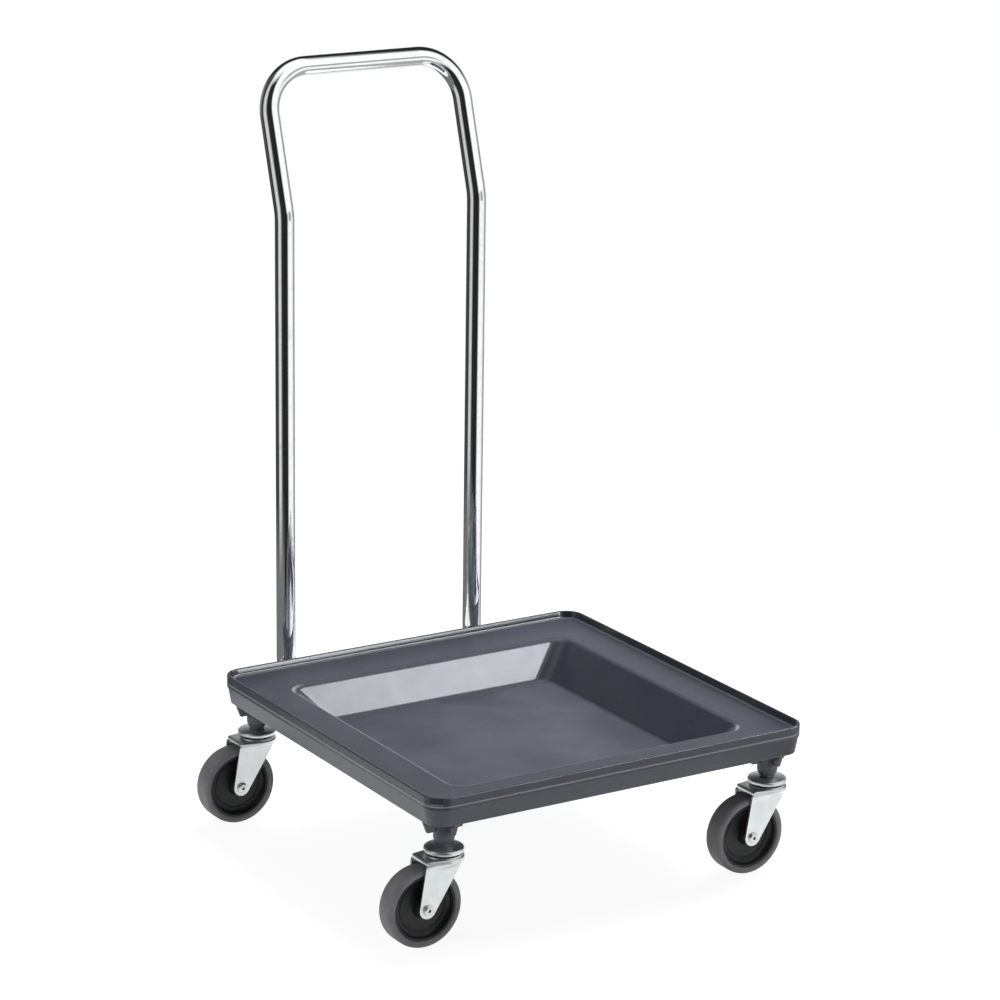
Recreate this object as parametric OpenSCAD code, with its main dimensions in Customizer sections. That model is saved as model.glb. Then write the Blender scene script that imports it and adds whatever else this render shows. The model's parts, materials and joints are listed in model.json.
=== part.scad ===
// Dish rack dolly: a moulded square tray with a raised lip and a sunken basin,
// a push handle bent from one tube, and four swivel casters on threaded stems.
// Millimetres, Z up. The floor is at Z = 0, and the origin is the middle of the
// footprint. X runs along the front edge and Y from the front to the handle.

/* [Tray] */
// Length of the tray, side to side
tray_len = 540; // [500:5:640]
// Depth of the tray, front to back
tray_wid = 540; // [500:5:640]
// Corner radius of the tray, seen from above
tray_corner_r = 26; // [20:1:32]
// Thickness of the tray's plates and walls
wall_t = 4; // [3:0.5:5]
// Height of the lip above the rack ledge
lip_h = 10; // [8:1:14]
// Thickness of the lip along its top
lip_t = 3.6; // [3:0.2:5]
// How far the lip's inner face leans in, top to foot
lip_draft = 1.5; // [0.5:0.5:3]
// Radius where the lip meets the ledge
lip_fillet = 5; // [3:1:6]
// Height of the outer skirt, lip top to lower edge
skirt_h = 37.5; // [34:0.5:46]
// Height of the upright band at the top of the skirt
band_h = 16; // [12:1:20]
// Step from the band in to the lower skirt
band_step = 1; // [0.5:0.5:2]
// How far the lower skirt leans in, top to bottom
skirt_draft = 3.5; // [1:0.5:5]
// Width of the rim at the two sides, outer edge to basin
ledge_side = 59.5; // [52:0.5:72]
// Width of the rim at the front, outer edge to basin
ledge_front = 52.5; // [48:0.5:72]
// Width of the rim at the back, where the handle is fixed
ledge_back = 73; // [70:0.5:90]

/* [Basin] */
// Depth of the basin below the ledge
basin_depth = 47.5; // [38:0.5:56]
// How far the basin's side walls lean in, top to floor
side_draft = 42.5; // [20:0.5:50]
// How far the basin's front and back walls lean in, top to floor
end_draft = 23; // [10:1:30]
// Corner radius of the basin's walls
basin_corner_r = 22; // [16:1:28]
// Rounding of the basin's top edge
basin_edge_r = 8; // [2:1:10]
// Radius where the walls meet the floor
floor_fillet = 8; // [4:1:12]

/* [Underside] */
// Thickness of the stiffening ribs
rib_t = 3; // [2:0.5:4]
// Number of cross ribs in the channel along each side
side_ribs = 4; // [2:1:6]
// Gap from the skirt's lower edge up to the channel ribs
rib_setback = 4; // [1:1:8]
// Height of the low ribs under the basin floor
floor_rib_h = 3; // [1:0.5:4]
// Number of floor ribs each way
floor_ribs = 3; // [1:1:5]
// Diameter of the caster bosses at the top
boss_d = 28; // [26:1:32]
// How much the bosses narrow towards the caster
boss_taper = 2; // [1:0.5:3]
// How far the bosses reach below the lip top
boss_drop = 69.5; // [64.5:0.5:74.5]
// Thickness of the gussets that tie in the bosses
gusset_t = 5; // [4:0.5:7]
// How far the gussets reach below the skirt
gusset_drop = 15.5; // [8:0.5:18]
// Flat lower edge of a gusset, measured from the boss axis
gusset_flat = 24; // [18:1:26]

/* [Handle] */
// Outer diameter of the handle tube
tube_d = 25.4; // [22:0.2:28]
// Wall thickness of the handle tube
tube_wall = 1.5; // [1.2:0.1:2.5]
// Distance between the two posts, centre to centre
post_gap = 286; // [240:2:340]
// Distance of the posts behind the tray's back face
post_back = 55.7; // [52:0.1:64]
// Height of the kink above the floor
kink_z = 768; // [600:2:900]
// Angle of the upper part, leaning back
lean_angle = 17.4; // [5:0.1:30]
// Length of the leaning part, kink to the bar's centre
lean_len = 187; // [150:1:260]
// Radius of the top corners, to the tube's centre
corner_bend_r = 60; // [48:1:70]
// Radius of the kink, to the tube's centre
kink_bend_r = 60; // [40:1:80]
// Radius of the bends under the tray, to the tube's centre
foot_bend_r = 38; // [34:1:41]
// Gap between the skirt's lower edge and the tube under it
foot_gap = 2.3; // [1.5:0.1:4]
// Length of the tube's foot under the tray, from the end of its bend
foot_len = 88; // [77:1:93]
// Distance of the first cross bolt from the end of the bend
bolt_inset = 36; // [33:1:41]
// Distance between the two cross bolts in each foot
bolt_pitch = 36; // [26:1:38]
// Diameter of the cross bolts
cross_bolt_d = 6; // [5:1:8]
// Wall each side of the tube in the tray's pocket
pocket_wall = 4.5; // [3.5:0.5:6]

/* [Casters] */
// Distance of a caster's swivel axis from the tray's side
caster_in_x = 35; // [32:1:40]
// Distance of a caster's swivel axis from the tray's front or back
caster_in_y = 35; // [32:1:40]
// Height of a caster, floor to the boss that it seats on
caster_h = 123; // [121.5:0.5:129.5]
// Distance from the swivel axis to the wheel axle, along the floor
trail = 32; // [28:1:36]
// Diameter of the wheel
wheel_d = 100; // [94:1:100]
// Width of the tread
tread_w = 29; // [24:1:30]
// Thickness of the tread, hub to floor
tread_t = 12; // [8:1:15]
// Rounding of the tread's shoulders
shoulder_r = 5; // [3:0.5:6]
// Length of the hub along the axle
hub_len = 31; // [30:0.5:33]
// Gap between the hub and each fork leg
side_gap = 0.3; // [0.2:0.1:0.6]
// Thickness of the fork's pressed steel sheet
sheet_t = 2.8; // [2:0.2:3.2]
// Radius of the fork's rounded lower ends
leg_end_r = 11; // [10:0.5:13]
// Diameter of the fork's round crown
crown_d = 50; // [48:1:52]
// Diameter of the domed upper race
race_d = 49; // [47:1:50]
// Diameter of the balls in the upper race
ball_d = 6.35; // [5.95:0.1:6.35]
// Number of balls in the upper race
ball_count = 14; // [8:1:15]
// Diameter of the balls in the lower race
low_ball_d = 4; // [3.6:0.1:4]
// Number of balls in the lower race
low_ball_count = 14; // [8:1:15]
// Diameter of the caster's threaded stem
stem_d = 12; // [10:1:12]
// Length of the stem inside the boss
stem_len = 36; // [28:1:40]
// Diameter of the kingpin that holds the races together
kingpin_d = 10; // [8:0.5:11]
// Diameter of the axle bolt
axle_d = 8; // [6:0.5:9]

/* [Fits] */
// Running clearance of a pin in its hole, at the radius
run_gap = 0.05; // [0.02:0.01:0.09]
// Clearance of pieces that sit fast in each other, at the radius
seat_gap = 0.05; // [0.02:0.01:0.1]
// Clearance round the handle's feet and cross bolts, at the radius
clear_gap = 0.2; // [0.1:0.05:0.3]

/* [Hidden] */
$fn = 64;
eps = 0.01;
cut = 1;

corners = ["front_left", "front_right", "back_left", "back_right"];
corner_sides = [[-1, -1], [1, -1], [-1, 1], [1, 1]];
caster_nodes = ["stem", "upper_race", "upper_balls", "lower_balls", "lower_race", "fork",
    "axle_bolt", "axle_nut", "axle_sleeve", "hub", "hub_bush", "tread"];

plastic_grey = "#5d6168";
chrome_bright = "#d4d7da";
zinc_pale = "#c9d0d0";
steel_dark = "#8f9498";
hub_black = "#26282b";
tread_grey = "#6a686e";
brass_dull = "#b39a55";
nylon_black = "#1d1f21";

// Heights of the tray, from the floor
lip_z = caster_h + boss_drop;
ledge_z = lip_z - lip_h;
plate_z = ledge_z - wall_t;
band_z = lip_z - band_h;
skirt_z = lip_z - skirt_h;
basin_z = ledge_z - basin_depth;
basin_under_z = basin_z - wall_t;
gusset_z = skirt_z - gusset_drop;
lower_in = band_step + skirt_draft;
basin_len = tray_len - 2 * ledge_side;
basin_wid = tray_wid - ledge_front - ledge_back;
basin_y = (ledge_front - ledge_back) / 2;
side_slope = atan(basin_depth / side_draft);
end_slope = atan(basin_depth / end_draft);

// Places of the casters
caster_x = tray_len / 2 - caster_in_x;
caster_y = tray_wid / 2 - caster_in_y;

// Heights and radii inside a caster, from the floor and the swivel axis
wheel_r = wheel_d / 2;
axle_z = wheel_r;
hex_h = 1.5;
hex_af = 17;
dome_z = caster_h - hex_h;
race_sheet = 2.5;
race_rim_h = 7.2;
race_rim_z = dome_z - race_rim_h;
race_r = race_d / 2;
race_in_z = dome_z - 4.7;
ball_ring_r = race_r - race_sheet - ball_d / 2 - 0.8;
groove_gap = 0.05;
groove_d = 0.45;
ball_z = race_in_z + groove_d - groove_gap - ball_d / 2;
crown_race_z = ball_z - ball_d / 2 - groove_gap + groove_d;
crown_race_r = race_r - 1.5;
crown_step = 1.4;
crown_z = crown_race_z - crown_step;
crown_under_z = crown_z - sheet_t;
hollow_z = crown_race_z - sheet_t;
hollow_r = crown_race_r - sheet_t;
low_ball_ring_r = hollow_r - low_ball_d / 2 - 6;
low_ball_z = hollow_z + groove_d - groove_gap - low_ball_d / 2;
low_race_z = low_ball_z - low_ball_d / 2 - groove_gap + groove_d;
low_race_t = 2;
low_race_r = low_ball_ring_r + low_ball_d / 2 + 2.5;
pin_head_h = 3;
pin_head_r = kingpin_d / 2 + 3.5;

// Fork and wheel
fork_gap = hub_len + 2 * side_gap;
fork_w = fork_gap + 2 * sheet_t;
crown_r = crown_d / 2;
crown_back = trail + 1.3;
lip_drop = 4.5;
blend_drop = 14;
leg_front = 0.76 * crown_r;
sleeve_r = axle_d / 2 + 2;
bush_r = sleeve_r + 2;
hub_r = wheel_r - tread_t;
hub_boss_r = bush_r + 4;
hub_rim_w = tread_w - 4;
tread_crown = 0.35;
bolt_head_r = axle_d / 2 + 2.8;
bolt_head_h = 3.4;
axle_nut_af = axle_d + 5;
axle_nut_h = 6;

// Handle
tube_r = tube_d / 2;
post_x = post_gap / 2;
post_y = tray_wid / 2 + post_back;
foot_z = skirt_z - foot_gap - tube_r;
foot_y = post_y - foot_bend_r;
foot_end_y = foot_y - foot_len;
kink_cut = round(1000 * kink_bend_r * tan(lean_angle / 2)) / 1000;
kink_swell = 0.1;
kink_lap = 0.3;
pocket_half = tube_r + clear_gap + pocket_wall;
pocket_low_z = foot_z - tube_r + 2.5;
bolt_ys = [foot_y - bolt_inset, foot_y - bolt_inset - bolt_pitch];
washer_t = 1.2;
washer_r = cross_bolt_d + 0.5;
cross_head_h = 4;
cross_nut_h = 6;
cross_af = cross_bolt_d + 4;
plug_flange = 3;

// Footprint, for the origin
low_x = min(-tray_len / 2, -caster_x - trail - wheel_r);
high_x = max(tray_len / 2, caster_x - trail + wheel_r, caster_x + crown_r);
low_y = -tray_wid / 2;
high_y = post_y + lean_len * sin(lean_angle) + tube_r + kink_swell;
mid_x = (low_x + high_x) / 2;
mid_y = (low_y + high_y) / 2;

module centred() {
    translate([-mid_x, -mid_y, 0]) children();
}

module at_caster(i) {
    centred() translate([corner_sides[i][0] * caster_x, corner_sides[i][1] * caster_y, 0]) children();
}

module at_axle(i) {
    at_caster(i) translate([-trail, 0, axle_z]) children();
}

// Turns a shape drawn upright round Z so that it lies along the axle, nose to the front
module along_axle() {
    rotate([90, 0, 0]) children();
}

// Turns a flat shape into the plane of the posts: its X is Y, and its Y is Z
module post_plane() {
    rotate([90, 0, 90]) children();
}

// Points of a rounded rectangle at one height, anticlockwise from above
ring_steps = 9;
function ring(l, w, r, z) = [
    for (q = [0:3])
        for (i = [0:ring_steps])
            let (
                a = 90 * (q + i / ring_steps),
                sx = (q == 0 || q == 3) ? 1 : -1,
                sy = (q < 2) ? 1 : -1
            )
            [sx * (l / 2 - r) + r * cos(a), sy * (w / 2 - r) + r * sin(a), z]
];

// Closed skin over a stack of rings, lowest ring first
module skin(rings) {
    n = len(rings[0]);
    m = len(rings);
    points = [for (s = rings) for (p = s) p];
    floor_face = [[for (i = [0:n - 1]) i]];
    top_face = [[for (i = [n - 1:-1:0]) (m - 1) * n + i]];
    sides = [
        for (k = [0:m - 2])
            for (i = [0:n - 1])
                let (
                    a = k * n + i,
                    b = k * n + (i + 1) % n
                )
                each [[a, a + n, b], [b, a + n, b + n]]
    ];
    polyhedron(points, concat(floor_face, sides, top_face));
}

// Upright block with rounded corners
module rounded_block(l, w, r, z0, z1) {
    translate([0, 0, z0]) linear_extrude(z1 - z0) {
        square([l - 2 * r, w], center = true);
        square([l, w - 2 * r], center = true);
        for (s = corner_sides)
            translate([s[0] * (l / 2 - r), s[1] * (w / 2 - r)]) circle(r);
    }
}

// Block with rounded corners whose four sides lean in towards the bottom
module leaning_block(l, w, r, z0, z1, lean) {
    h = z1 - z0;
    for (s = corner_sides)
        translate([s[0] * (l / 2 - r), s[1] * (w / 2 - r), z0]) cylinder(h, r - lean, r);
    rotate([90, 0, 0]) linear_extrude(w - 2 * r, center = true)
        polygon([[lean - l / 2, z0], [l / 2 - lean, z0], [l / 2, z1], [-l / 2, z1]]);
    rotate([90, 0, 90]) linear_extrude(l - 2 * r, center = true)
        polygon([[lean - w / 2, z0], [w / 2 - lean, z0], [w / 2, z1], [-w / 2, z1]]);
}

// Space inside the lip: leaning faces and a fillet at the ledge
module lip_space() {
    foot_in = lip_t + lip_draft;
    fillet_z = ledge_z + lip_fillet;
    skin(concat(
        [for (a = [90:-18:0])
            let (d = foot_in + lip_fillet * (1 - cos(a)))
            ring(tray_len - 2 * d, tray_wid - 2 * d, tray_corner_r - d, fillet_z - lip_fillet * sin(a))],
        [ring(tray_len - 2 * lip_t, tray_wid - 2 * lip_t, tray_corner_r - lip_t, lip_z + eps)],
        [ring(tray_len - 2 * lip_t, tray_wid - 2 * lip_t, tray_corner_r - lip_t, lip_z + cut)]));
}

// How far a sloping face stands from its sharp corner at height h, with the corner rounded by r
function eased(h, r, slope) =
    h < r * (1 - cos(slope)) ? sqrt(r * r - (r - h) * (r - h)) - r * tan(slope / 2) : h / tan(slope);

// How far a basin wall of the given draft stands in from its top edge at height z
function wall_in(z, draft, fillet) =
    let (slope = atan(basin_depth / draft))
    z > basin_z + basin_depth / 2
        ? eased(max(ledge_z - z, 0), basin_edge_r, slope)
        : draft - eased(z - basin_z, fillet, slope);

function basin_ring(z, shell) =
    let (
        fillet = floor_fillet + shell,
        in_x = wall_in(z, side_draft, fillet) - shell * tan(side_slope / 2),
        in_y = wall_in(z, end_draft, fillet) - shell * tan(end_slope / 2)
    )
    ring(basin_len - 2 * in_x, basin_wid - 2 * in_y, basin_corner_r + shell / 2, z - shell);

// The basin's space, or with a shell thickness its outer form
module basin_form(shell) {
    steepest = max(side_slope, end_slope);
    translate([0, basin_y, 0]) skin(concat(
        [for (k = [0:6]) basin_ring(basin_z + (floor_fillet + shell) * (1 - cos(steepest * k / 6)), shell)],
        [for (k = [4:-1:0]) basin_ring(ledge_z - basin_edge_r * (1 - cos(steepest * k / 4)), shell)],
        [basin_ring(ledge_z + cut + shell, shell)]));
}

// Side view of a rib that grows out of the skirt: X is the distance in from the tray's face
module rib_side(reach, low_z) {
    top_z = plate_z + wall_t / 2;
    in_top = band_step + wall_t / 2;
    slope = skirt_draft / (band_z - skirt_z);
    edge_z = max(low_z, skirt_z + eps);
    polygon([
        [in_top, top_z],
        [in_top, band_z],
        [in_top + (band_z - edge_z) * slope, edge_z],
        [min(reach, in_top + (band_z - edge_z) * slope + (edge_z - low_z) * 0.6), low_z],
        [reach, low_z],
        [reach, top_z]
    ]);
}

// Rib standing square to one side of the tray: side 0 front, 1 right, 2 back, 3 left
module side_rib(side, along, thick) {
    half = (side % 2 == 0) ? tray_wid / 2 : tray_len / 2;
    rotate(90 * side) translate([along, -half, 0])
        post_plane() linear_extrude(thick, center = true) children();
}

module channel_ribs() {
    for (side = [0:3]) {
        long = (side % 2 == 0) ? basin_len : basin_wid;
        reach = [ledge_front, ledge_side, ledge_back, ledge_side][side];
        for (k = [0:side_ribs - 1]) {
            along = long * ((k + 0.5) / side_ribs - 0.5);
            if (side != 2 || abs(abs(along) - post_x) > pocket_half + rib_t)
                side_rib(side, along, rib_t) rib_side(reach + 1, skirt_z + rib_setback);
        }
    }
}

// Cross of gussets round a boss: flat below, then cut off slantwise up to the skirt or the plate
module boss_gussets() {
    skirt_x = caster_in_x - lower_in - 0.3;
    skirt_y = caster_in_y - lower_in - 0.3;
    top_z = plate_z + wall_t / 2;
    inner = gusset_flat + 18;
    for (s = corner_sides)
        translate([s[0] * caster_x, s[1] * caster_y, 0]) {
            rotate([90, 0, 0]) linear_extrude(gusset_t, center = true) scale([s[0], 1])
                polygon([[-inner, top_z], [-gusset_flat, gusset_z], [gusset_flat, gusset_z],
                    [skirt_x, skirt_z + eps], [skirt_x + skirt_draft, band_z], [skirt_x + skirt_draft, top_z]]);
            post_plane() linear_extrude(gusset_t, center = true) scale([s[1], 1])
                polygon([[-inner, top_z], [-gusset_flat, gusset_z], [gusset_flat, gusset_z],
                    [skirt_y, skirt_z + eps], [skirt_y + skirt_draft, band_z], [skirt_y + skirt_draft, top_z]]);
        }
}

module bosses() {
    low_r = boss_d / 2 - boss_taper / 2;
    nose_h = 6;
    for (s = corner_sides)
        translate([s[0] * caster_x, s[1] * caster_y, 0]) {
            translate([0, 0, caster_h + nose_h])
                cylinder(plate_z - caster_h - nose_h + wall_t / 2, low_r, boss_d / 2);
            translate([0, 0, caster_h]) cylinder(nose_h, low_r - 3, low_r);
        }
}

// Pocket that holds one foot of the handle between two walls
module handle_pockets() {
    for (s = [-1, 1])
        side_rib(2, s * post_x, 2 * pocket_half) rib_side(ledge_back - 1, pocket_low_z);
}

module handle_pocket_cuts() {
    bore_r = tube_r + clear_gap;
    start_y = foot_end_y - plug_flange - cut;
    long = tray_wid / 2 + cut - start_y;
    for (s = [-1, 1]) {
        translate([s * post_x, start_y, foot_z])
            rotate([-90, 0, 0]) cylinder(long, bore_r, bore_r);
        translate([s * post_x - bore_r, start_y, foot_z - 2 * tube_d])
            cube([2 * bore_r, long, 2 * tube_d]);
        for (y = bolt_ys)
            translate([s * post_x, y, foot_z]) rotate([0, 90, 0])
                cylinder(2 * pocket_half + 2 * cut, r = cross_bolt_d / 2 + clear_gap, center = true);
    }
}

module floor_grid() {
    flat_len = basin_len - 2 * side_draft - 2 * floor_fillet;
    flat_wid = basin_wid - 2 * end_draft - 2 * floor_fillet;
    for (k = [0:floor_ribs - 1]) {
        f = (k + 0.5) / floor_ribs - 0.5;
        translate([-flat_len / 2, basin_y + flat_wid * f - rib_t / 2, basin_under_z - floor_rib_h])
            cube([flat_len, rib_t, floor_rib_h + wall_t / 2]);
        translate([flat_len * f - rib_t / 2, basin_y - flat_wid / 2, basin_under_z - floor_rib_h])
            cube([rib_t, flat_wid, floor_rib_h + wall_t / 2]);
    }
}

module tray() {
    insert_r = stem_d / 2 + 2.5;
    color(plastic_grey) centred() difference() {
        union() {
            difference() {
                union() {
                    rounded_block(tray_len, tray_wid, tray_corner_r, band_z, lip_z);
                    leaning_block(tray_len - 2 * band_step, tray_wid - 2 * band_step,
                        tray_corner_r - band_step, skirt_z, band_z + eps, skirt_draft);
                }
                leaning_block(tray_len - 2 * (band_step + wall_t), tray_wid - 2 * (band_step + wall_t),
                    tray_corner_r - band_step - wall_t, skirt_z - eps, band_z, skirt_draft);
                rounded_block(tray_len - 2 * (band_step + wall_t), tray_wid - 2 * (band_step + wall_t),
                    tray_corner_r - band_step - wall_t, band_z - eps, plate_z);
            }
            intersection() {
                basin_form(wall_t);
                translate([0, 0, basin_under_z - cut])
                    linear_extrude(plate_z + wall_t / 2 - basin_under_z + cut) square(tray_len + tray_wid, center = true);
            }
            channel_ribs();
            boss_gussets();
            bosses();
            handle_pockets();
            floor_grid();
        }
        lip_space();
        basin_form(0);
        handle_pocket_cuts();
        for (s = corner_sides)
            translate([s[0] * caster_x, s[1] * caster_y, caster_h - cut])
                cylinder(stem_len + cut + 2, r = insert_r + seat_gap);
    }
}

// Brass inserts moulded into the bosses
module stem_inserts() {
    insert_r = stem_d / 2 + 2.5;
    color(brass_dull) centred() for (s = corner_sides)
        translate([s[0] * caster_x, s[1] * caster_y, caster_h]) difference() {
            cylinder(stem_len + 2 - seat_gap, r = insert_r);
            translate([0, 0, -cut]) cylinder(stem_len + cut + 0.5, r = stem_d / 2 + seat_gap);
        }
}

// Part of a ring of the tube's section, from the X axis towards Y
module bend(bend_r, angle, r) {
    rotate_extrude(angle = angle) translate([bend_r, 0]) circle(r);
}

// One side of the handle as a rod of radius r, its foot longer by the given length. The leaning
// part is a hair thicker, and the kink ends inside it, so that no two round faces lie on each other
module handle_side(r, longer) {
    lap_angle = asin(kink_lap / kink_bend_r);
    lean_r = r + kink_swell;
    translate([post_x, foot_end_y - longer, foot_z])
        rotate([-90, 0, 0]) cylinder(foot_len + longer, r = r);
    translate([post_x, foot_y, foot_z + foot_bend_r])
        post_plane() rotate(-90) bend(foot_bend_r, 90, r);
    translate([post_x, post_y, foot_z + foot_bend_r])
        cylinder(kink_z - kink_cut - foot_z - foot_bend_r, r = r);
    translate([post_x, post_y + kink_bend_r, kink_z - kink_cut])
        post_plane() mirror([1, 0, 0]) bend(kink_bend_r, lean_angle + lap_angle, r);
    translate([0, post_y, kink_z]) rotate([-lean_angle, 0, 0]) {
        translate([post_x, 0, kink_cut]) rotate(-90)
            cylinder(lean_len - corner_bend_r - kink_cut, r = lean_r);
        translate([post_x - corner_bend_r, 0, lean_len - corner_bend_r])
            rotate([90, 0, 0]) bend(corner_bend_r, 90, lean_r);
    }
}

module handle_rod(r, longer) {
    handle_side(r, longer);
    mirror([1, 0, 0]) handle_side(r, longer);
    translate([0, post_y, kink_z]) rotate([-lean_angle, 0, 0]) translate([0, 0, lean_len])
        rotate([0, 90, 0]) cylinder(2 * (post_x - corner_bend_r), r = r + kink_swell, center = true);
}

module handle() {
    color(chrome_bright) centred() difference() {
        handle_rod(tube_r, 0);
        handle_rod(tube_r - tube_wall, cut);
        for (s = [-1, 1])
            for (y = bolt_ys)
                translate([s * post_x, y, foot_z]) rotate([0, 90, 0])
                    cylinder(tube_d + 2 * cut, r = cross_bolt_d / 2 + clear_gap, center = true);
    }
}

// Plastic plugs in the open ends of the handle's feet
module handle_plugs() {
    barrel_r = tube_r - tube_wall - seat_gap;
    color(nylon_black) centred() for (s = [-1, 1])
        translate([s * post_x, foot_end_y, foot_z]) rotate([90, 0, 0]) rotate_extrude()
            polygon([[0, -8], [barrel_r - 1, -8], [barrel_r, -7], [barrel_r, 0], [tube_r, 0],
                [tube_r, plug_flange - 1], [tube_r - 1, plug_flange], [0, plug_flange]]);
}

module hex_prism(af, h) {
    cylinder(h, d = af / cos(30), $fn = 6);
}

// Places children at each cross bolt, with Z along the bolt and outwards
module at_cross_bolts() {
    centred() for (s = [-1, 1])
        for (y = bolt_ys)
            translate([s * post_x, y, foot_z]) rotate([0, s * 90, 0]) children();
}

module handle_bolts() {
    shank = 2 * (pocket_half + washer_t) + cross_nut_h + 2;
    color(zinc_pale) at_cross_bolts() {
        translate([0, 0, pocket_half + washer_t]) hex_prism(cross_af, cross_head_h);
        translate([0, 0, pocket_half + washer_t - shank]) cylinder(shank + eps, r = cross_bolt_d / 2);
    }
}

module handle_washers() {
    color(zinc_pale) at_cross_bolts() for (z = [pocket_half, -pocket_half - washer_t])
        translate([0, 0, z]) difference() {
            cylinder(washer_t, r = washer_r);
            translate([0, 0, -cut]) cylinder(washer_t + 2 * cut, r = cross_bolt_d / 2 + clear_gap);
        }
}

module handle_nuts() {
    color(zinc_pale) at_cross_bolts() translate([0, 0, -pocket_half - washer_t - cross_nut_h])
        difference() {
            union() {
                translate([0, 0, 1.5]) hex_prism(cross_af, cross_nut_h - 1.5);
                cylinder(1.5, r = cross_af / 2 - 0.6);
            }
            translate([0, 0, -cut]) cylinder(cross_nut_h + 2 * cut, r = cross_bolt_d / 2 + seat_gap);
        }
}

// Threaded stem, thin hexagon and kingpin in one piece, with its lower end riveted over
module stem(i) {
    pin_r = kingpin_d / 2;
    low_z = low_race_z - low_race_t;
    color(zinc_pale) at_caster(i) {
        translate([0, 0, dome_z]) hex_prism(hex_af, hex_h);
        rotate_extrude() polygon([
            [0, low_z - pin_head_h],
            [pin_head_r - 2.5, low_z - pin_head_h],
            [pin_head_r - 0.8, low_z - pin_head_h + 1],
            [pin_head_r, low_z],
            [pin_r, low_z],
            [pin_r, caster_h],
            [stem_d / 2, caster_h],
            [stem_d / 2, caster_h + stem_len - 2],
            [stem_d / 2 - 1.5, caster_h + stem_len],
            [0, caster_h + stem_len]
        ]);
    }
}

// Ring of grooves that the balls run in
module ball_groove(ring_r, z, d) {
    translate([0, 0, z]) rotate_extrude() translate([ring_r, 0]) circle(d / 2 + groove_gap);
}

module ball_ring(ring_r, z, d, count) {
    for (k = [0:count - 1])
        rotate(360 * k / count) translate([ring_r, 0, z]) sphere(d = d);
}

// Domed upper race, fixed to the stem
module upper_race(i) {
    bore_r = kingpin_d / 2 + seat_gap;
    rim_r = 2.6;
    shoulder_z = dome_z - 1.9;
    color(zinc_pale) at_caster(i) difference() {
        rotate_extrude() polygon(concat(
            [[bore_r, dome_z], [race_r * 0.45, dome_z]],
            [for (a = [80:-16:0])
                [race_r - rim_r + rim_r * cos(a), shoulder_z - rim_r + rim_r * sin(a)]],
            [[race_r, race_rim_z], [race_r - race_sheet + 0.3, race_rim_z],
                [race_r - race_sheet + 0.3, race_in_z - 0.8], [race_r - race_sheet - 0.5, race_in_z],
                [ball_ring_r - ball_d / 2, race_in_z], [race_r * 0.42, dome_z - race_sheet],
                [bore_r, dome_z - race_sheet]]));
        ball_groove(ball_ring_r, ball_z, ball_d);
    }
}

module upper_balls(i) {
    color(steel_dark) at_caster(i) ball_ring(ball_ring_r, ball_z, ball_d, ball_count);
}

module lower_balls(i) {
    color(steel_dark) at_caster(i) ball_ring(low_ball_ring_r, low_ball_z, low_ball_d, low_ball_count);
}

// Cup under the fork's crown, held up by the riveted end of the kingpin
module lower_race(i) {
    bore_r = kingpin_d / 2 + seat_gap;
    color(zinc_pale) at_caster(i) difference() {
        rotate_extrude() polygon([
            [bore_r, low_race_z - low_race_t], [low_race_r - 1, low_race_z - low_race_t],
            [low_race_r, low_race_z - low_race_t + 1], [low_race_r, low_race_z + 1.2],
            [low_race_r - 1.4, low_race_z + 1.2], [low_race_r - 1.4, low_race_z], [bore_r, low_race_z]
        ]);
        ball_groove(low_ball_ring_r, low_ball_z, low_ball_d);
    }
}

// Plan of the fork's crown: round at the front, straight across the back
module crown_plan(inset) {
    hull() {
        circle(crown_r - inset);
        translate([-crown_back, inset - fork_w / 2]) square([1, fork_w - 2 * inset]);
    }
}

// Side view of the fork, with its X forward of the swivel axis and its Y up
module fork_side() {
    translate([-crown_back, crown_z - lip_drop]) square([crown_back + crown_r, crown_race_z - crown_z + lip_drop]);
    hull() {
        translate([-trail, axle_z]) circle(leg_end_r);
        translate([-crown_back, crown_z - 2]) square([crown_back + leg_front, 1]);
    }
}

// The pressing's outside, or with an inset its inside, from the crown down past the axle
module fork_form(inset, back, top_z) {
    low_z = axle_z - leg_end_r - cut;
    blend_z = crown_z - blend_drop;
    side = fork_w - 2 * inset;
    hull() {
        translate([0, 0, crown_z - sheet_t - inset - 1.2]) linear_extrude(1.2) crown_plan(inset);
        translate([0, 0, top_z - 1]) linear_extrude(1) crown_plan(inset + 1);
        translate([-crown_back - back, -side / 2, blend_z]) cube([crown_back + back + 10, side, 1]);
    }
    translate([-crown_back - back, -side / 2, low_z])
        cube([crown_back + back + crown_r, side, blend_z - low_z + 0.5]);
}

module fork(i) {
    color(zinc_pale) at_caster(i) difference() {
        union() {
            intersection() {
                fork_form(0, 12, crown_z);
                rotate([90, 0, 0]) linear_extrude(2 * crown_d, center = true) fork_side();
            }
            translate([0, 0, crown_z - 1]) cylinder(crown_step + 1 - 0.8, r = crown_race_r);
            translate([0, 0, crown_race_z - 0.8]) cylinder(0.8, crown_race_r, crown_race_r - 0.8);
        }
        fork_form(sheet_t, 30, crown_under_z);
        translate([0, 0, crown_under_z - 1]) cylinder(hollow_z - crown_under_z + 1, r = hollow_r);
        translate([0, 0, crown_under_z - 1]) cylinder(2 * crown_step + sheet_t, r = kingpin_d / 2 + run_gap);
        ball_groove(ball_ring_r, ball_z, ball_d);
        ball_groove(low_ball_ring_r, low_ball_z, low_ball_d);
        translate([-trail, 0, axle_z]) along_axle()
            cylinder(2 * fork_w, r = axle_d / 2 + seat_gap, center = true);
    }
}

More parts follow.
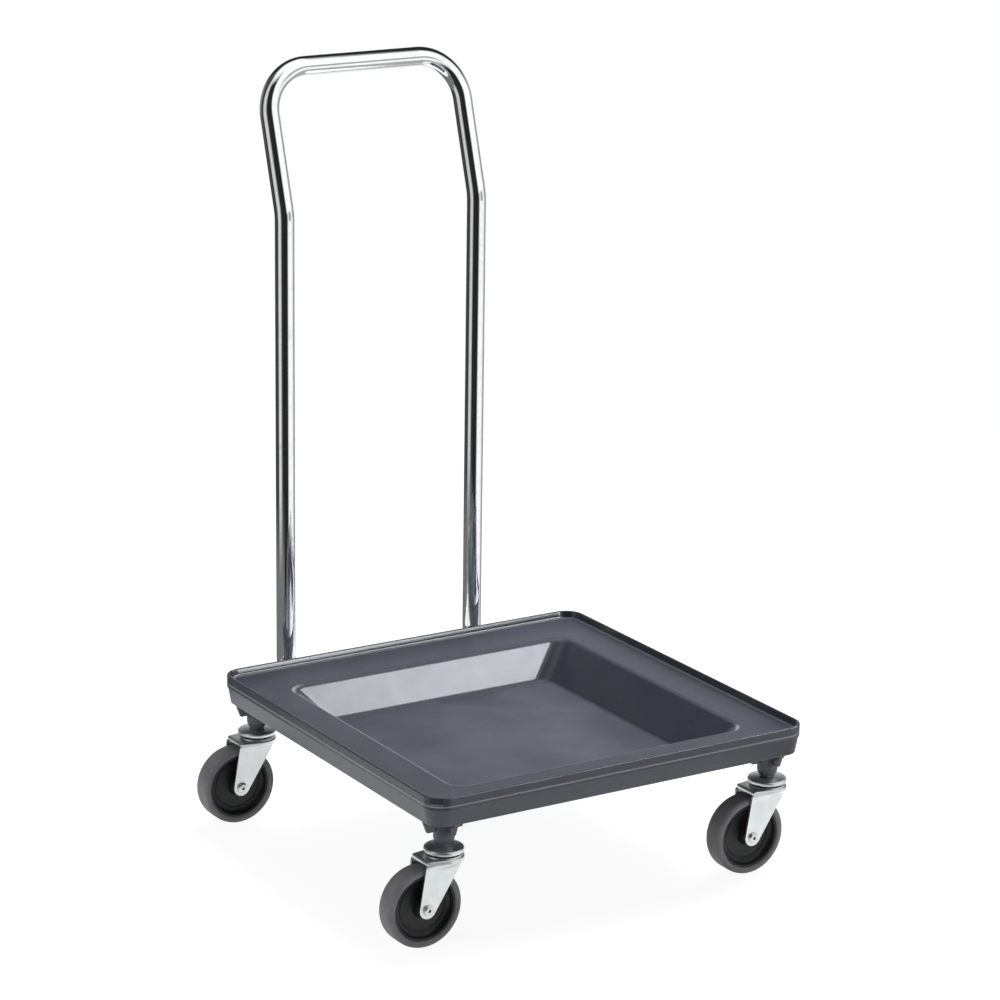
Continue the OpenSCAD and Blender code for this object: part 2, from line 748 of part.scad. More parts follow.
// Bolt with a low round head and a hexagon socket, head to the front
module axle_bolt(i) {
    color(zinc_pale) at_axle(i) along_axle() difference() {
        union() {
            translate([0, 0, fork_w / 2]) rotate_extrude() polygon([
                [0, 0], [bolt_head_r, 0], [bolt_head_r, 1], [bolt_head_r - 0.7, bolt_head_h - 0.9],
                [bolt_head_r - 2.2, bolt_head_h], [0, bolt_head_h]
            ]);
            translate([0, 0, -fork_w / 2 - axle_nut_h - 1.5])
                cylinder(fork_w + axle_nut_h + 1.5 + eps, r = axle_d / 2);
        }
        translate([0, 0, fork_w / 2 + bolt_head_h - 2.4]) hex_prism(axle_d * 0.6, 3);
    }
}

module axle_nut(i) {
    color(zinc_pale) at_axle(i) along_axle() translate([0, 0, -fork_w / 2 - axle_nut_h]) difference() {
        union() {
            translate([0, 0, 1.8]) hex_prism(axle_nut_af, axle_nut_h - 1.8);
            cylinder(1.8, r = axle_nut_af / 2 - 0.7);
        }
        translate([0, 0, -cut]) cylinder(axle_nut_h + 2 * cut, r = axle_d / 2 + seat_gap);
    }
}

// Spacer tube clamped between the legs, which the wheel turns on
module axle_sleeve(i) {
    color(steel_dark) at_axle(i) along_axle() difference() {
        cylinder(fork_gap, r = sleeve_r, center = true);
        cylinder(fork_gap + 2 * cut, r = axle_d / 2 + seat_gap, center = true);
    }
}

module hub_bush(i) {
    color(nylon_black) at_axle(i) along_axle() difference() {
        cylinder(hub_len, r = bush_r, center = true);
        cylinder(hub_len + 2 * cut, r = sleeve_r + run_gap, center = true);
    }
}

// One half of the hub's section, from the bore out to the rim, for a half width s of 1 or -1
function hub_half(s) = [
    [bush_r + seat_gap, s * hub_len / 2],
    [hub_boss_r - 1, s * hub_len / 2],
    [hub_boss_r, s * (hub_len / 2 - 1)],
    [hub_boss_r + 1.5, s * 4.5],
    [hub_boss_r + 8, s * 4],
    [hub_boss_r + 8.6, s * 5.6],
    [hub_boss_r + 10.2, s * 5.6],
    [hub_boss_r + 10.8, s * 4],
    [hub_r - 9.2, s * 4.6],
    [hub_r - 8.6, s * 7],
    [hub_r - 7, s * 7],
    [hub_r - 6, s * 5.2],
    [hub_r - 3.6, s * (hub_rim_w / 2 - 0.6)],
    [hub_r - 3, s * hub_rim_w / 2],
    [hub_r - seat_gap, s * hub_rim_w / 2]
];

module hub(i) {
    other = hub_half(-1);
    color(hub_black) at_axle(i) along_axle() rotate_extrude()
        polygon(concat(hub_half(1), [for (k = [len(other) - 1:-1:0]) other[k]]));
}

// Rounded corner of the tread's section, from its side face up to its running face
function shoulder(s) = [
    for (a = [0:15:90])
        [wheel_r - tread_crown - shoulder_r + shoulder_r * sin(a),
            s * (tread_w / 2 - shoulder_r + shoulder_r * cos(a))]
];

module tread(i) {
    left = shoulder(-1);
    color(tread_grey) at_axle(i) along_axle() rotate_extrude() polygon(concat(
        [[hub_r, -hub_rim_w / 2], [hub_r + 2, -tread_w / 2]],
        left,
        [[wheel_r, -3], [wheel_r, 3]],
        [for (k = [len(left) - 1:-1:0]) [left[k][0], -left[k][1]]],
        [[hub_r + 2, tread_w / 2], [hub_r, hub_rim_w / 2]]));
}

tray();
handle();
handle_plugs();
handle_bolts();
handle_washers();
handle_nuts();
stem_inserts();
for (i = [0:3]) {
    stem(i);
    upper_race(i);
    upper_balls(i);
    lower_balls(i);
    lower_race(i);
    fork(i);
    axle_bolt(i);
    axle_nut(i);
    axle_sleeve(i);
    hub(i);
    hub_bush(i);
    tread(i);
}
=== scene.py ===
import json
import math

import bmesh
import bpy
from mathutils import Matrix, Vector

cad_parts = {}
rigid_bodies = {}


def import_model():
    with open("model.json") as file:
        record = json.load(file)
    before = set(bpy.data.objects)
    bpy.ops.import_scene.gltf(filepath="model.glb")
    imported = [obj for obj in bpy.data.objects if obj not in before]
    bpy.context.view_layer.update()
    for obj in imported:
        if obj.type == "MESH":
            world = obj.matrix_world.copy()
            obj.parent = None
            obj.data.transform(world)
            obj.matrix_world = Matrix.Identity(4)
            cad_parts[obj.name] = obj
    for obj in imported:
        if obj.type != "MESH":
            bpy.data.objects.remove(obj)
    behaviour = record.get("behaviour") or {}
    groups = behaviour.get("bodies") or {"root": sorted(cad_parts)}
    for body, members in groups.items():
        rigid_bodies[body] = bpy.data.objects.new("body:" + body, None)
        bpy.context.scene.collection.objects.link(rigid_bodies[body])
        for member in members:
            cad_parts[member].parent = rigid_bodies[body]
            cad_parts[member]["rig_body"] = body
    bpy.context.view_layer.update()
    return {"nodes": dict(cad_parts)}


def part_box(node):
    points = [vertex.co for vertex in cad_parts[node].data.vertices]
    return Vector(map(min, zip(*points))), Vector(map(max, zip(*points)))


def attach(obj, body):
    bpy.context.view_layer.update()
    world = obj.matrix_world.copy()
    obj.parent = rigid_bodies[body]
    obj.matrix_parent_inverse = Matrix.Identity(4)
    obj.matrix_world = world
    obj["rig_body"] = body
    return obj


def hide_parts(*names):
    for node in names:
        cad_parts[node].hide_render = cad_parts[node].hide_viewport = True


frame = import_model()
mm = 0.001
corners = ("front_left", "front_right", "back_left", "back_right")
quarters = ((-1, -1), (1, -1), (-1, 1), (1, 1))
print("frame loaded:", len(frame["nodes"]), "nodes")


def centreOf(node):
    low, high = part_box(node)
    return (low + high) / 2


tray = {
    "cornerR": 26 * mm, "leastCornerR": 2 * mm, "wall": 4 * mm,
    "lipH": 10 * mm, "lipT": 3.6 * mm, "lipDraft": 1.5 * mm, "lipFillet": 5 * mm, "lipRound": 1.3 * mm,
    "skirtH": 37.5 * mm, "bandH": 16 * mm, "bandStep": 1 * mm, "skirtDraft": 3.5 * mm, "skirtRound": 0.9 * mm,
    "stepRings": ((1.05, -0.5 * mm), (1, -0.1 * mm), (0.5, 0), (0.15, 0.15 * mm), (0, 0.6 * mm)),
    "plateFillet": 2.5 * mm,
    "rimSide": 59.5 * mm, "rimFront": 52.5 * mm, "rimBack": 73 * mm,
    "basinDepth": 47.5 * mm, "sideDraft": 42.5 * mm, "endDraft": 23 * mm,
    "basinCornerR": 22 * mm, "basinEdgeR": 8 * mm, "floorFillet": 8 * mm,
    "ribT": 3 * mm, "ribSetback": 4 * mm, "ribOver": 1 * mm, "ribRound": 0.5 * mm, "sideRibs": 4,
    "floorRibs": 3, "floorRibH": 3 * mm,
    "bossR": 14 * mm, "bossTaper": 1 * mm, "bossNose": (3 * mm, 6 * mm), "bossRounds": (0.8 * mm, 2 * mm),
    "boreR": 8.55 * mm, "boreDepth": 38 * mm, "axisGap": 0.5 * mm,
    "gussetT": 5 * mm, "gussetDrop": 15.5 * mm, "gussetFlat": 24 * mm, "gussetLean": 18 * mm,
    "gussetRound": 0.9 * mm,
    "pocketWall": 4.5 * mm, "pocketRise": 2.5 * mm, "pocketShort": 1 * mm, "pocketRound": 0.6 * mm,
    "clearance": 0.2 * mm,
    "sunk": 0.3 * mm,  # how far a rib's edge stays inside the skirt
}
trayLow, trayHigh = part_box("tray")
trayCentre = Vector(((trayLow.x + trayHigh.x) / 2, (trayLow.y + trayHigh.y) / 2, 0))
halfLen = (trayHigh.x - trayLow.x) / 2
halfWid = (trayHigh.y - trayLow.y) / 2
lipZ = trayHigh.z
bossZ = trayLow.z
ledgeZ = lipZ - tray["lipH"]
plateZ = ledgeZ - tray["wall"]
bandZ = lipZ - tray["bandH"]
skirtZ = lipZ - tray["skirtH"]
basinZ = ledgeZ - tray["basinDepth"]


# Node and material helpers

def addNode(tree, kind, inputs=None, **settings):
    node = tree.nodes.new(kind)
    for name, value in settings.items():
        setattr(node, name, value)
    for name, value in (inputs or {}).items():
        node.inputs[name].default_value = value
    return node


def link(tree, source, target):
    tree.links.new(source, target)


def newGroup(name, inputs, outputs):
    # inputs: name -> default number, or None for a vector; outputs: names of values
    group = bpy.data.node_groups.new(name, "ShaderNodeTree")
    for label, value in inputs.items():
        kind = "NodeSocketVector" if value is None else "NodeSocketFloat"
        socket = group.interface.new_socket(name=label, in_out="INPUT", socket_type=kind)
        if value is not None:
            socket.default_value = value
    for label in outputs:
        group.interface.new_socket(name=label, in_out="OUTPUT", socket_type="NodeSocketFloat")
    return group, group.nodes.new("NodeGroupInput"), group.nodes.new("NodeGroupOutput")


def useGroup(tree, group, inputs=None):
    node = tree.nodes.new("ShaderNodeGroup")
    node.node_tree = group
    for name, value in (inputs or {}).items():
        node.inputs[name].default_value = value
    return node


def calculate(tree, operation, first, second=0.0, clamp=False):
    node = addNode(tree, "ShaderNodeMath", operation=operation, use_clamp=clamp)
    for socket, value in zip(node.inputs, (first, second)):
        if isinstance(value, bpy.types.NodeSocket):
            link(tree, value, socket)
        else:
            socket.default_value = value
    return node.outputs[0]


def times(tree, first, second, clamp=False):
    return calculate(tree, "MULTIPLY", first, second, clamp)


def rescale(tree, value, low, high, newLow=0.0, newHigh=1.0):
    inputs = {"From Min": low, "From Max": high, "To Min": newLow, "To Max": newHigh}
    node = addNode(tree, "ShaderNodeMapRange", inputs)
    link(tree, value, node.inputs["Value"])
    return node.outputs["Result"]


def between(tree, value, rise, fall):
    # grows from 0 to 1 over the rise, and goes back to 0 over the fall
    return times(tree, rescale(tree, value, *rise), rescale(tree, value, *fall, 1.0, 0.0))


def mixColour(tree, factor, first, second):
    node = addNode(tree, "ShaderNodeMix", data_type="RGBA")
    for socket, value in ((node.inputs[0], factor), (node.inputs[6], first), (node.inputs[7], second)):
        if isinstance(value, bpy.types.NodeSocket):
            link(tree, value, socket)
        elif isinstance(value, tuple):
            socket.default_value = (*value, 1.0)
        else:
            socket.default_value = value
    return node.outputs[2]


# Shared effects

def makeGrain():
    # fine surface texture: two noises, one a third the size of the other
    inputs = {"Vector": None, "Scale": 900.0, "Fine share": 0.4}
    group, source, result = newGroup("surfaceGrain", inputs, ["Height"])
    coarse = addNode(group, "ShaderNodeTexNoise", {"Detail": 2.0, "Roughness": 0.55})
    fine = addNode(group, "ShaderNodeTexNoise", {"Detail": 1.0, "Roughness": 0.5})
    link(group, source.outputs["Vector"], coarse.inputs["Vector"])
    link(group, source.outputs["Vector"], fine.inputs["Vector"])
    link(group, source.outputs["Scale"], coarse.inputs["Scale"])
    link(group, times(group, source.outputs["Scale"], 3.1), fine.inputs["Scale"])
    share = times(group, fine.outputs[0], source.outputs["Fine share"])
    link(group, calculate(group, "ADD", coarse.outputs[0], share), result.inputs["Height"])
    return group


def makeEdgeWear():
    # bright where a convex edge turns within the given radius, broken up by a noise
    inputs = {"Vector": None, "Radius": 0.0008, "Break up": 60.0, "Gain": 6.0}
    group, source, result = newGroup("edgeWear", inputs, ["Mask"])
    rounded = addNode(group, "ShaderNodeBevel", samples=6)
    link(group, source.outputs["Radius"], rounded.inputs["Radius"])
    geometry = group.nodes.new("ShaderNodeNewGeometry")
    agreement = addNode(group, "ShaderNodeVectorMath", operation="DOT_PRODUCT")
    link(group, rounded.outputs["Normal"], agreement.inputs[0])
    link(group, geometry.outputs["Normal"], agreement.inputs[1])
    turned = calculate(group, "SUBTRACT", 1.0, agreement.outputs["Value"])
    edge = times(group, turned, source.outputs["Gain"], clamp=True)
    patches = addNode(group, "ShaderNodeTexNoise", {"Detail": 3.0, "Roughness": 0.6})
    link(group, source.outputs["Vector"], patches.inputs["Vector"])
    link(group, source.outputs["Break up"], patches.inputs["Scale"])
    kept = rescale(group, patches.outputs[0], 0.35, 0.65)
    link(group, times(group, edge, kept, clamp=True), result.inputs["Mask"])
    return group


def makeMottle():
    # slow change over a surface, from 0 to 1
    group, source, result = newGroup("mottle", {"Vector": None, "Scale": 14.0, "Contrast": 0.25}, ["Amount"])
    clouds = addNode(group, "ShaderNodeTexNoise", {"Detail": 4.0, "Roughness": 0.55})
    link(group, source.outputs["Vector"], clouds.inputs["Vector"])
    link(group, source.outputs["Scale"], clouds.inputs["Scale"])
    low = calculate(group, "SUBTRACT", 0.5, source.outputs["Contrast"])
    high = calculate(group, "ADD", 0.5, source.outputs["Contrast"])
    spread = addNode(group, "ShaderNodeMapRange")
    link(group, clouds.outputs[0], spread.inputs["Value"])
    link(group, low, spread.inputs["From Min"])
    link(group, high, spread.inputs["From Max"])
    link(group, spread.outputs["Result"], result.inputs["Amount"])
    return group


def makeScratches():
    # sparse thin marks: the narrow middle line of a noise, kept only in patches
    inputs = {"Vector": None, "Scale": 30.0, "Width": 0.012, "Patches": 9.0}
    group, source, result = newGroup("scratches", inputs, ["Mask"])
    lines = addNode(group, "ShaderNodeTexNoise", {"Detail": 1.0, "Roughness": 0.4, "Distortion": 0.6})
    link(group, source.outputs["Vector"], lines.inputs["Vector"])
    link(group, source.outputs["Scale"], lines.inputs["Scale"])
    offset = calculate(group, "ABSOLUTE", calculate(group, "SUBTRACT", lines.outputs[0], 0.5))
    near = calculate(group, "DIVIDE", offset, source.outputs["Width"])
    line = calculate(group, "SUBTRACT", 1.0, near, clamp=True)
    patches = addNode(group, "ShaderNodeTexNoise", {"Detail": 1.0})
    link(group, source.outputs["Vector"], patches.inputs["Vector"])
    link(group, source.outputs["Patches"], patches.inputs["Scale"])
    kept = rescale(group, patches.outputs[0], 0.55, 0.68)
    link(group, times(group, line, kept, clamp=True), result.inputs["Mask"])
    return group


grainGroup = makeGrain()
wearGroup = makeEdgeWear()
mottleGroup = makeMottle()
scratchGroup = makeScratches()


def startMaterial(name):
    # returns the material, its tree, its shader and its Object coordinates
    material = bpy.data.materials.new(name)
    material.use_nodes = True
    tree = material.node_tree
    place = addNode(tree, "ShaderNodeTexCoord")
    return material, tree, tree.nodes["Principled BSDF"], place.outputs["Object"]


def stretched(tree, vector, scale, turn=0.0):
    mapping = addNode(tree, "ShaderNodeMapping", {"Rotation": (0.0, 0.0, turn), "Scale": scale})
    link(tree, vector, mapping.inputs["Vector"])
    return mapping.outputs["Vector"]


def placeGroup(tree, group, vector, output, **inputs):
    node = useGroup(tree, group, {name.replace("_", " "): value for name, value in inputs.items()})
    link(tree, vector, node.inputs["Vector"])
    return node.outputs[output]


def bumpFrom(tree, shader, height, strength, distance, before=None):
    bump = addNode(tree, "ShaderNodeBump", {"Strength": strength, "Distance": distance})
    link(tree, height, bump.inputs["Height"])
    if before:
        link(tree, before, bump.inputs["Normal"])
    link(tree, bump.outputs["Normal"], shader.inputs["Normal"])
    return bump.outputs["Normal"]


plastic = {
    "deep": (0.058, 0.065, 0.086), "pale": (0.072, 0.080, 0.104), "dulled": (0.120, 0.128, 0.156),
    # the darkest colour on the next line, and its share, are painted shade for the lip's inner face
    "dulledZ": (0.2 * mm, 2.5 * mm), "shadedLipFace": (0.018, 0.020, 0.025), "lipShadeShare": 0.5,
    # the rubbed colour is the pale of real scuffs, wear and flow lines, and also of the painted highlights on
    # the basin's edge and the lip's foot, which the ranges after it place
    "rubbed": (0.40, 0.41, 0.43), "edgeGlint": (1.0, 0.6), "farEdgeGlint": 0.12, "footGlint": (0.5, 0.25),
    "leftGlint": (12 * mm, 26 * mm), "frontGlint": (10 * mm, 22 * mm),
    "scuffs": 0.08, "wear": 0.18, "flow": 0.05, "flowDepth": 0.4 * mm,
    "roughness": (0.20, 0.27), "levelRoughness": (0.36, 0.46), "lipRoughness": 0.13,
    "grain": 1300.0, "grainDepth": 0.12 * mm, "bumpStrength": 0.12,
}
# where the marks, the painted highlights and the painted shade on the tray start and end, over its ledge and
# in from its sides
marks = {
    "edgeGlintLine": ((-2.6 * mm, -1.4 * mm), (-0.5 * mm, -0.2 * mm)),
    "level": ((-1.2 * mm, -0.1 * mm), (0.4 * mm, 1.2 * mm)),
    "lipFoot": ((0.3 * mm, 1.0 * mm), (1.8 * mm, 2.6 * mm)),
    "lipFace": ((2.4 * mm, 3.2 * mm), (tray["lipH"] + 1 * mm, tray["lipH"] + 2 * mm)),
}
sideMarks = {"skirt": (6 * mm, 5 * mm), "lip": (3.2 * mm, 2.6 * mm), "band": (0.9 * mm, 0.3 * mm)}


def overLedge(tree, z, mark):
    rise, fall = marks[mark]
    return between(tree, z, [ledgeZ + part for part in rise], [ledgeZ + part for part in fall])


def towardsSide(tree, reach, mark):
    return rescale(tree, reach, *(halfLen - inward for inward in sideMarks[mark]))


def flowLines(tree, vector, reach, z):
    # flow lines of the moulding lie level and show on the outside of the skirt
    level = stretched(tree, vector, (20.0, 20.0, 1500.0))
    lines = placeGroup(tree, mottleGroup, level, "Amount", Scale=1.0, Contrast=0.2)
    lower = rescale(tree, z, bandZ - 0.5 * mm, bandZ, 1.0, 0.0)
    outside = calculate(tree, "MAXIMUM", lower, towardsSide(tree, reach, "band"))
    return times(tree, lines, times(tree, towardsSide(tree, reach, "skirt"), outside))


def edgeGlintLine(tree, x, y, z, clouds):
    # a painted highlight along the basin's rounded edge: a pale line, mostly at the left and in front
    line = times(tree, overLedge(tree, z, "edgeGlintLine"), rescale(tree, clouds, 0.0, 1.0, *plastic["edgeGlint"]))
    left = rescale(tree, x, *(tray["rimSide"] - halfLen + part for part in plastic["leftGlint"]), 1.0, 0.0)
    front = rescale(tree, y, *(tray["rimFront"] - halfWid + part for part in plastic["frontGlint"]), 1.0, 0.0)
    glintSides = calculate(tree, "MAXIMUM", left, front)
    return times(tree, line, rescale(tree, glintSides, 0.0, 1.0, plastic["farEdgeGlint"], 1.0))


def makeTrayPlastic():
    material, tree, shader, vector = startMaterial("trayPlastic")
    middle = addNode(tree, "ShaderNodeMapping", {"Location": tuple(-trayCentre)})
    link(tree, vector, middle.inputs["Vector"])
    apart = addNode(tree, "ShaderNodeSeparateXYZ")
    link(tree, middle.outputs["Vector"], apart.inputs[0])
    x, y, z = apart.outputs
    reach = calculate(tree, "MAXIMUM", calculate(tree, "ABSOLUTE", x), calculate(tree, "ABSOLUTE", y))
    clouds = placeGroup(tree, mottleGroup, vector, "Amount", Scale=11.0, Contrast=0.22)
    colour = mixColour(tree, clouds, plastic["deep"], plastic["pale"])
    # the basin's floor is dulled
    bottom = rescale(tree, z, *(basinZ + part for part in plastic["dulledZ"]), 1.0, 0.0)
    colour = mixColour(tree, bottom, colour, mixColour(tree, clouds, plastic["dulled"], plastic["pale"]))
    flow = flowLines(tree, vector, reach, z)
    colour = mixColour(tree, times(tree, flow, plastic["flow"]), colour, plastic["rubbed"])
    colour = mixColour(tree, edgeGlintLine(tree, x, y, z, clouds), colour, plastic["rubbed"])
    # inside the lip, painted shade darkens the face and a painted highlight keeps its foot pale
    inside = calculate(tree, "SUBTRACT", 1.0, towardsSide(tree, reach, "lip"))
    face = times(tree, inside, overLedge(tree, z, "lipFace"))
    colour = mixColour(tree, times(tree, face, plastic["lipShadeShare"]), colour, plastic["shadedLipFace"])
    # painted highlight: a pale line along the lip's foot, broken up by the clouds
    foot = times(tree, overLedge(tree, z, "lipFoot"), rescale(tree, clouds, 0.0, 1.0, *plastic["footGlint"]))
    colour = mixColour(tree, times(tree, foot, inside), colour, plastic["rubbed"])
    drawn = stretched(tree, vector, (5.0, 60.0, 60.0), 0.5)
    scuffs = placeGroup(tree, scratchGroup, drawn, "Mask", Scale=1.0, Width=0.010, Patches=0.6)
    colour = mixColour(tree, times(tree, scuffs, plastic["scuffs"]), colour, plastic["rubbed"])
    wear = placeGroup(tree, wearGroup, vector, "Mask", Radius=0.0016, Break_up=45.0, Gain=5.0)
    colour = mixColour(tree, times(tree, wear, plastic["wear"]), colour, plastic["rubbed"])
    link(tree, colour, shader.inputs["Base Color"])
    # the level faces, where racks slide, are rubbed more matt than the sloping walls
    smudge = placeGroup(tree, mottleGroup, vector, "Amount", Scale=38.0, Contrast=0.3)
    sloping = rescale(tree, smudge, 0.0, 1.0, *plastic["roughness"])
    level = rescale(tree, smudge, 0.0, 1.0, *plastic["levelRoughness"])
    slidOn = calculate(tree, "MAXIMUM", overLedge(tree, z, "level"), bottom)
    duller = times(tree, slidOn, calculate(tree, "SUBTRACT", level, sloping))
    # the lip's inner face kept the mould's gloss
    glossier = times(tree, face, calculate(tree, "SUBTRACT", plastic["lipRoughness"], sloping))
    change = calculate(tree, "ADD", duller, glossier)
    link(tree, calculate(tree, "ADD", sloping, change), shader.inputs["Roughness"])
    grain = placeGroup(tree, grainGroup, vector, "Height", Scale=plastic["grain"])
    fine = bumpFrom(tree, shader, grain, plastic["bumpStrength"], plastic["grainDepth"])
    bumpFrom(tree, shader, flow, plastic["bumpStrength"], plastic["flowDepth"], fine)
    return material


chrome = {
    "colour": (0.93, 0.94, 0.95), "hazy": (0.80, 0.81, 0.82), "roughness": (0.055, 0.14), "hairlines": 0.15,
    "ripple": (16.0, 0.12, 0.6 * mm), "peel": (420.0, 0.02, 0.1 * mm),
}


def makeChrome():
    material, tree, shader, vector = startMaterial("chromedTube")
    shader.inputs["Metallic"].default_value = 1.0
    haze = placeGroup(tree, mottleGroup, vector, "Amount", Scale=26.0, Contrast=0.16)
    fingers = placeGroup(tree, mottleGroup, vector, "Amount", Scale=120.0, Contrast=0.12)
    dull = times(tree, haze, fingers, clamp=True)
    link(tree, mixColour(tree, dull, chrome["colour"], chrome["hazy"]), shader.inputs["Base Color"])
    lines = placeGroup(tree, scratchGroup, vector, "Mask", Scale=80.0, Width=0.006, Patches=18.0)
    rough = rescale(tree, dull, 0.0, 1.0, *chrome["roughness"])
    rough = calculate(tree, "ADD", rough, times(tree, lines, chrome["hairlines"]))
    link(tree, rough, shader.inputs["Roughness"])
    # the bent tube is never quite straight: a slow ripple, and the orange peel of the plating
    scale, strength, depth = chrome["ripple"]
    ripple = placeGroup(tree, mottleGroup, vector, "Amount", Scale=scale, Contrast=0.5)
    first = bumpFrom(tree, shader, ripple, strength, depth)
    scale, strength, depth = chrome["peel"]
    peel = placeGroup(tree, grainGroup, vector, "Height", Scale=scale)
    bumpFrom(tree, shader, peel, strength, depth, first)
    return material


plated = {
    "zinc_steel": {"name": "zincSteel", "colour": (0.72, 0.765, 0.755), "rubbed": (0.90, 0.92, 0.92),
                   "roughness": (0.26, 0.36), "grain": 1500.0, "grainStrength": 0.12},
    "race_steel": {"name": "raceSteel", "colour": (0.78, 0.81, 0.81), "rubbed": (0.90, 0.92, 0.92),
                   "roughness": (0.32, 0.42), "grain": 1800.0, "grainStrength": 0.05},
    # painted shade: the stem is darkened so that its hexagon under the boss reads as a shadow gap
    "shaded_stem_steel": {"name": "darkSteel", "colour": (0.16, 0.165, 0.17), "rubbed": (0.40, 0.41, 0.41),
                   "roughness": (0.34, 0.46), "grain": 1500.0, "grainStrength": 0.1},
    "bearing_steel": {"name": "bearingSteel", "colour": (0.60, 0.61, 0.62), "rubbed": (0.80, 0.80, 0.81),
                      "roughness": (0.08, 0.14), "grain": 2400.0, "grainStrength": 0.03},
    "insert_brass": {"name": "insertBrass", "colour": (0.62, 0.47, 0.20), "rubbed": (0.80, 0.66, 0.36),
                     "roughness": (0.22, 0.34), "grain": 1500.0, "grainStrength": 0.08},
}

plating = {"dim": 0.86, "wear": 0.7, "polish": 0.08, "grainDepth": 0.1 * mm}


def makePlated(name, colour, rubbed, roughness, grain, grainStrength):
    # bare or plated metal: cloudy, and rubbed bright along its edges
    material, tree, shader, vector = startMaterial(name)
    shader.inputs["Metallic"].default_value = 1.0
    clouds = placeGroup(tree, mottleGroup, vector, "Amount", Scale=70.0, Contrast=0.25)
    wear = placeGroup(tree, wearGroup, vector, "Mask", Radius=0.0007, Break_up=160.0, Gain=5.0)
    dim = tuple(plating["dim"] * part for part in colour)
    base = mixColour(tree, clouds, dim, colour)
    base = mixColour(tree, times(tree, wear, plating["wear"]), base, rubbed)
    link(tree, base, shader.inputs["Base Color"])
    speckle = placeGroup(tree, mottleGroup, vector, "Amount", Scale=600.0, Contrast=0.3)
    rough = rescale(tree, speckle, 0.0, 1.0, *roughness)
    rough = calculate(tree, "SUBTRACT", rough, times(tree, wear, plating["polish"]))
    link(tree, rough, shader.inputs["Roughness"])
    height = placeGroup(tree, grainGroup, vector, "Height", Scale=grain)
    bumpFrom(tree, shader, height, grainStrength, plating["grainDepth"])
    return material


moulded = {
    "hub_plastic": {"name": "hubPlastic", "colour": (0.006, 0.0065, 0.007), "dusty": (0.030, 0.031, 0.032),
                    "roughness": (0.30, 0.46), "grain": 1400.0, "grainStrength": 0.2,
                    "wearShare": 0.5, "shine": 0.30},
    "tread_rubber": {"name": "treadRubber", "colour": (0.190, 0.187, 0.200), "dusty": (0.290, 0.284, 0.300),
                     "roughness": (0.52, 0.68), "grain": 1100.0, "grainStrength": 0.35,
                     "wearShare": 0.4, "shine": 0.5},
    "black_nylon": {"name": "blackNylon", "colour": (0.012, 0.012, 0.013), "dusty": (0.03, 0.03, 0.032),
                    "roughness": (0.35, 0.5), "grain": 1600.0, "grainStrength": 0.2,
                    "wearShare": 0.4, "shine": 0.5},
}

moulding = {"paleGain": 1.9, "paleLift": 0.02, "grainDepth": 0.15 * mm}


def makeMoulded(name, colour, dusty, roughness, grain, grainStrength, wearShare, shine):
    # a moulded dark plastic or rubber: dust in patches, rubbed edges, a matt grain
    material, tree, shader, vector = startMaterial(name)
    shader.inputs["Specular IOR Level"].default_value = shine
    dust = placeGroup(tree, mottleGroup, vector, "Amount", Scale=48.0, Contrast=0.25)
    wear = placeGroup(tree, wearGroup, vector, "Mask", Radius=0.0009, Break_up=120.0, Gain=5.0)
    base = mixColour(tree, dust, colour, dusty)
    pale = tuple(moulding["paleGain"] * part + moulding["paleLift"] for part in dusty)
    base = mixColour(tree, times(tree, wear, wearShare), base, pale)
    link(tree, base, shader.inputs["Base Color"])
    smudge = placeGroup(tree, mottleGroup, vector, "Amount", Scale=150.0, Contrast=0.3)
    link(tree, rescale(tree, smudge, 0.0, 1.0, *roughness), shader.inputs["Roughness"])
    height = placeGroup(tree, grainGroup, vector, "Height", Scale=grain)
    bumpFrom(tree, shader, height, grainStrength, moulding["grainDepth"])
    return material


materials = {"tray_plastic": makeTrayPlastic(), "chromed_tube": makeChrome()}
for slot, look in plated.items():
    materials[slot] = makePlated(**look)
for slot, look in moulded.items():
    materials[slot] = makeMoulded(**look)
print("materials made:", len(materials))


# Pieces

def finishPiece(name, bm, material, body, replaced, sharpAngle=38):
    bmesh.ops.remove_doubles(bm, verts=bm.verts, dist=1e-6)
    bmesh.ops.recalc_face_normals(bm, faces=bm.faces)
    for face in bm.faces:
        face.smooth = True
    for edge in bm.edges:
        if len(edge.link_faces) == 2 and edge.calc_face_angle(0.0) > math.radians(sharpAngle):
            edge.smooth = False
    mesh = bpy.data.meshes.new(name)
    bm.to_mesh(mesh)
    bm.free()
    mesh.materials.append(materials[material])
    piece = bpy.data.objects.new(name, mesh)
    bpy.context.scene.collection.objects.link(piece)
    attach(piece, body)
    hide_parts(*replaced)
    return piece


def weighNormals(piece):
    weigh = piece.modifiers.new("flat faces stay flat", "WEIGHTED_NORMAL")
    weigh.keep_sharp = True


def lathe(bm, outline, place, steps=96):
    # outline: closed list of (radius, height, softening along the edges), turned about the local Z axis
    before = set(bm.verts)
    verts = [bm.verts.new((radius, 0.0, height)) for radius, height, soft in outline]
    bm.faces.new(verts)
    for vert, (radius, height, soft) in zip(verts, outline):
        if soft > 0:
            bmesh.ops.bevel(bm, geom=[vert], offset=soft, affect="VERTICES",
                            segments=5, profile=0.5, material=-1)
    section = [v for v in bm.verts if v not in before]
    face = section[0].link_faces[0]
    edges = list(face.edges)
    bmesh.ops.delete(bm, geom=[face], context="FACES_ONLY")
    bmesh.ops.spin(bm, geom=section + edges, cent=(0, 0, 0), axis=(0, 0, 1), dvec=(0, 0, 0),
                   angle=math.tau, steps=steps, use_merge=True, use_duplicate=False)
    turned = [v for v in bm.verts if v not in before]
    bmesh.ops.transform(bm, matrix=place, verts=turned)


def carryStraight(bm, loop, move):
    grown = bmesh.ops.extrude_edge_only(bm, edges=loop)["geom"]
    verts = [g for g in grown if isinstance(g, bmesh.types.BMVert)]
    bmesh.ops.translate(bm, vec=move, verts=verts)
    return [g for g in grown if isinstance(g, bmesh.types.BMEdge) and all(v in verts for v in g.verts)]


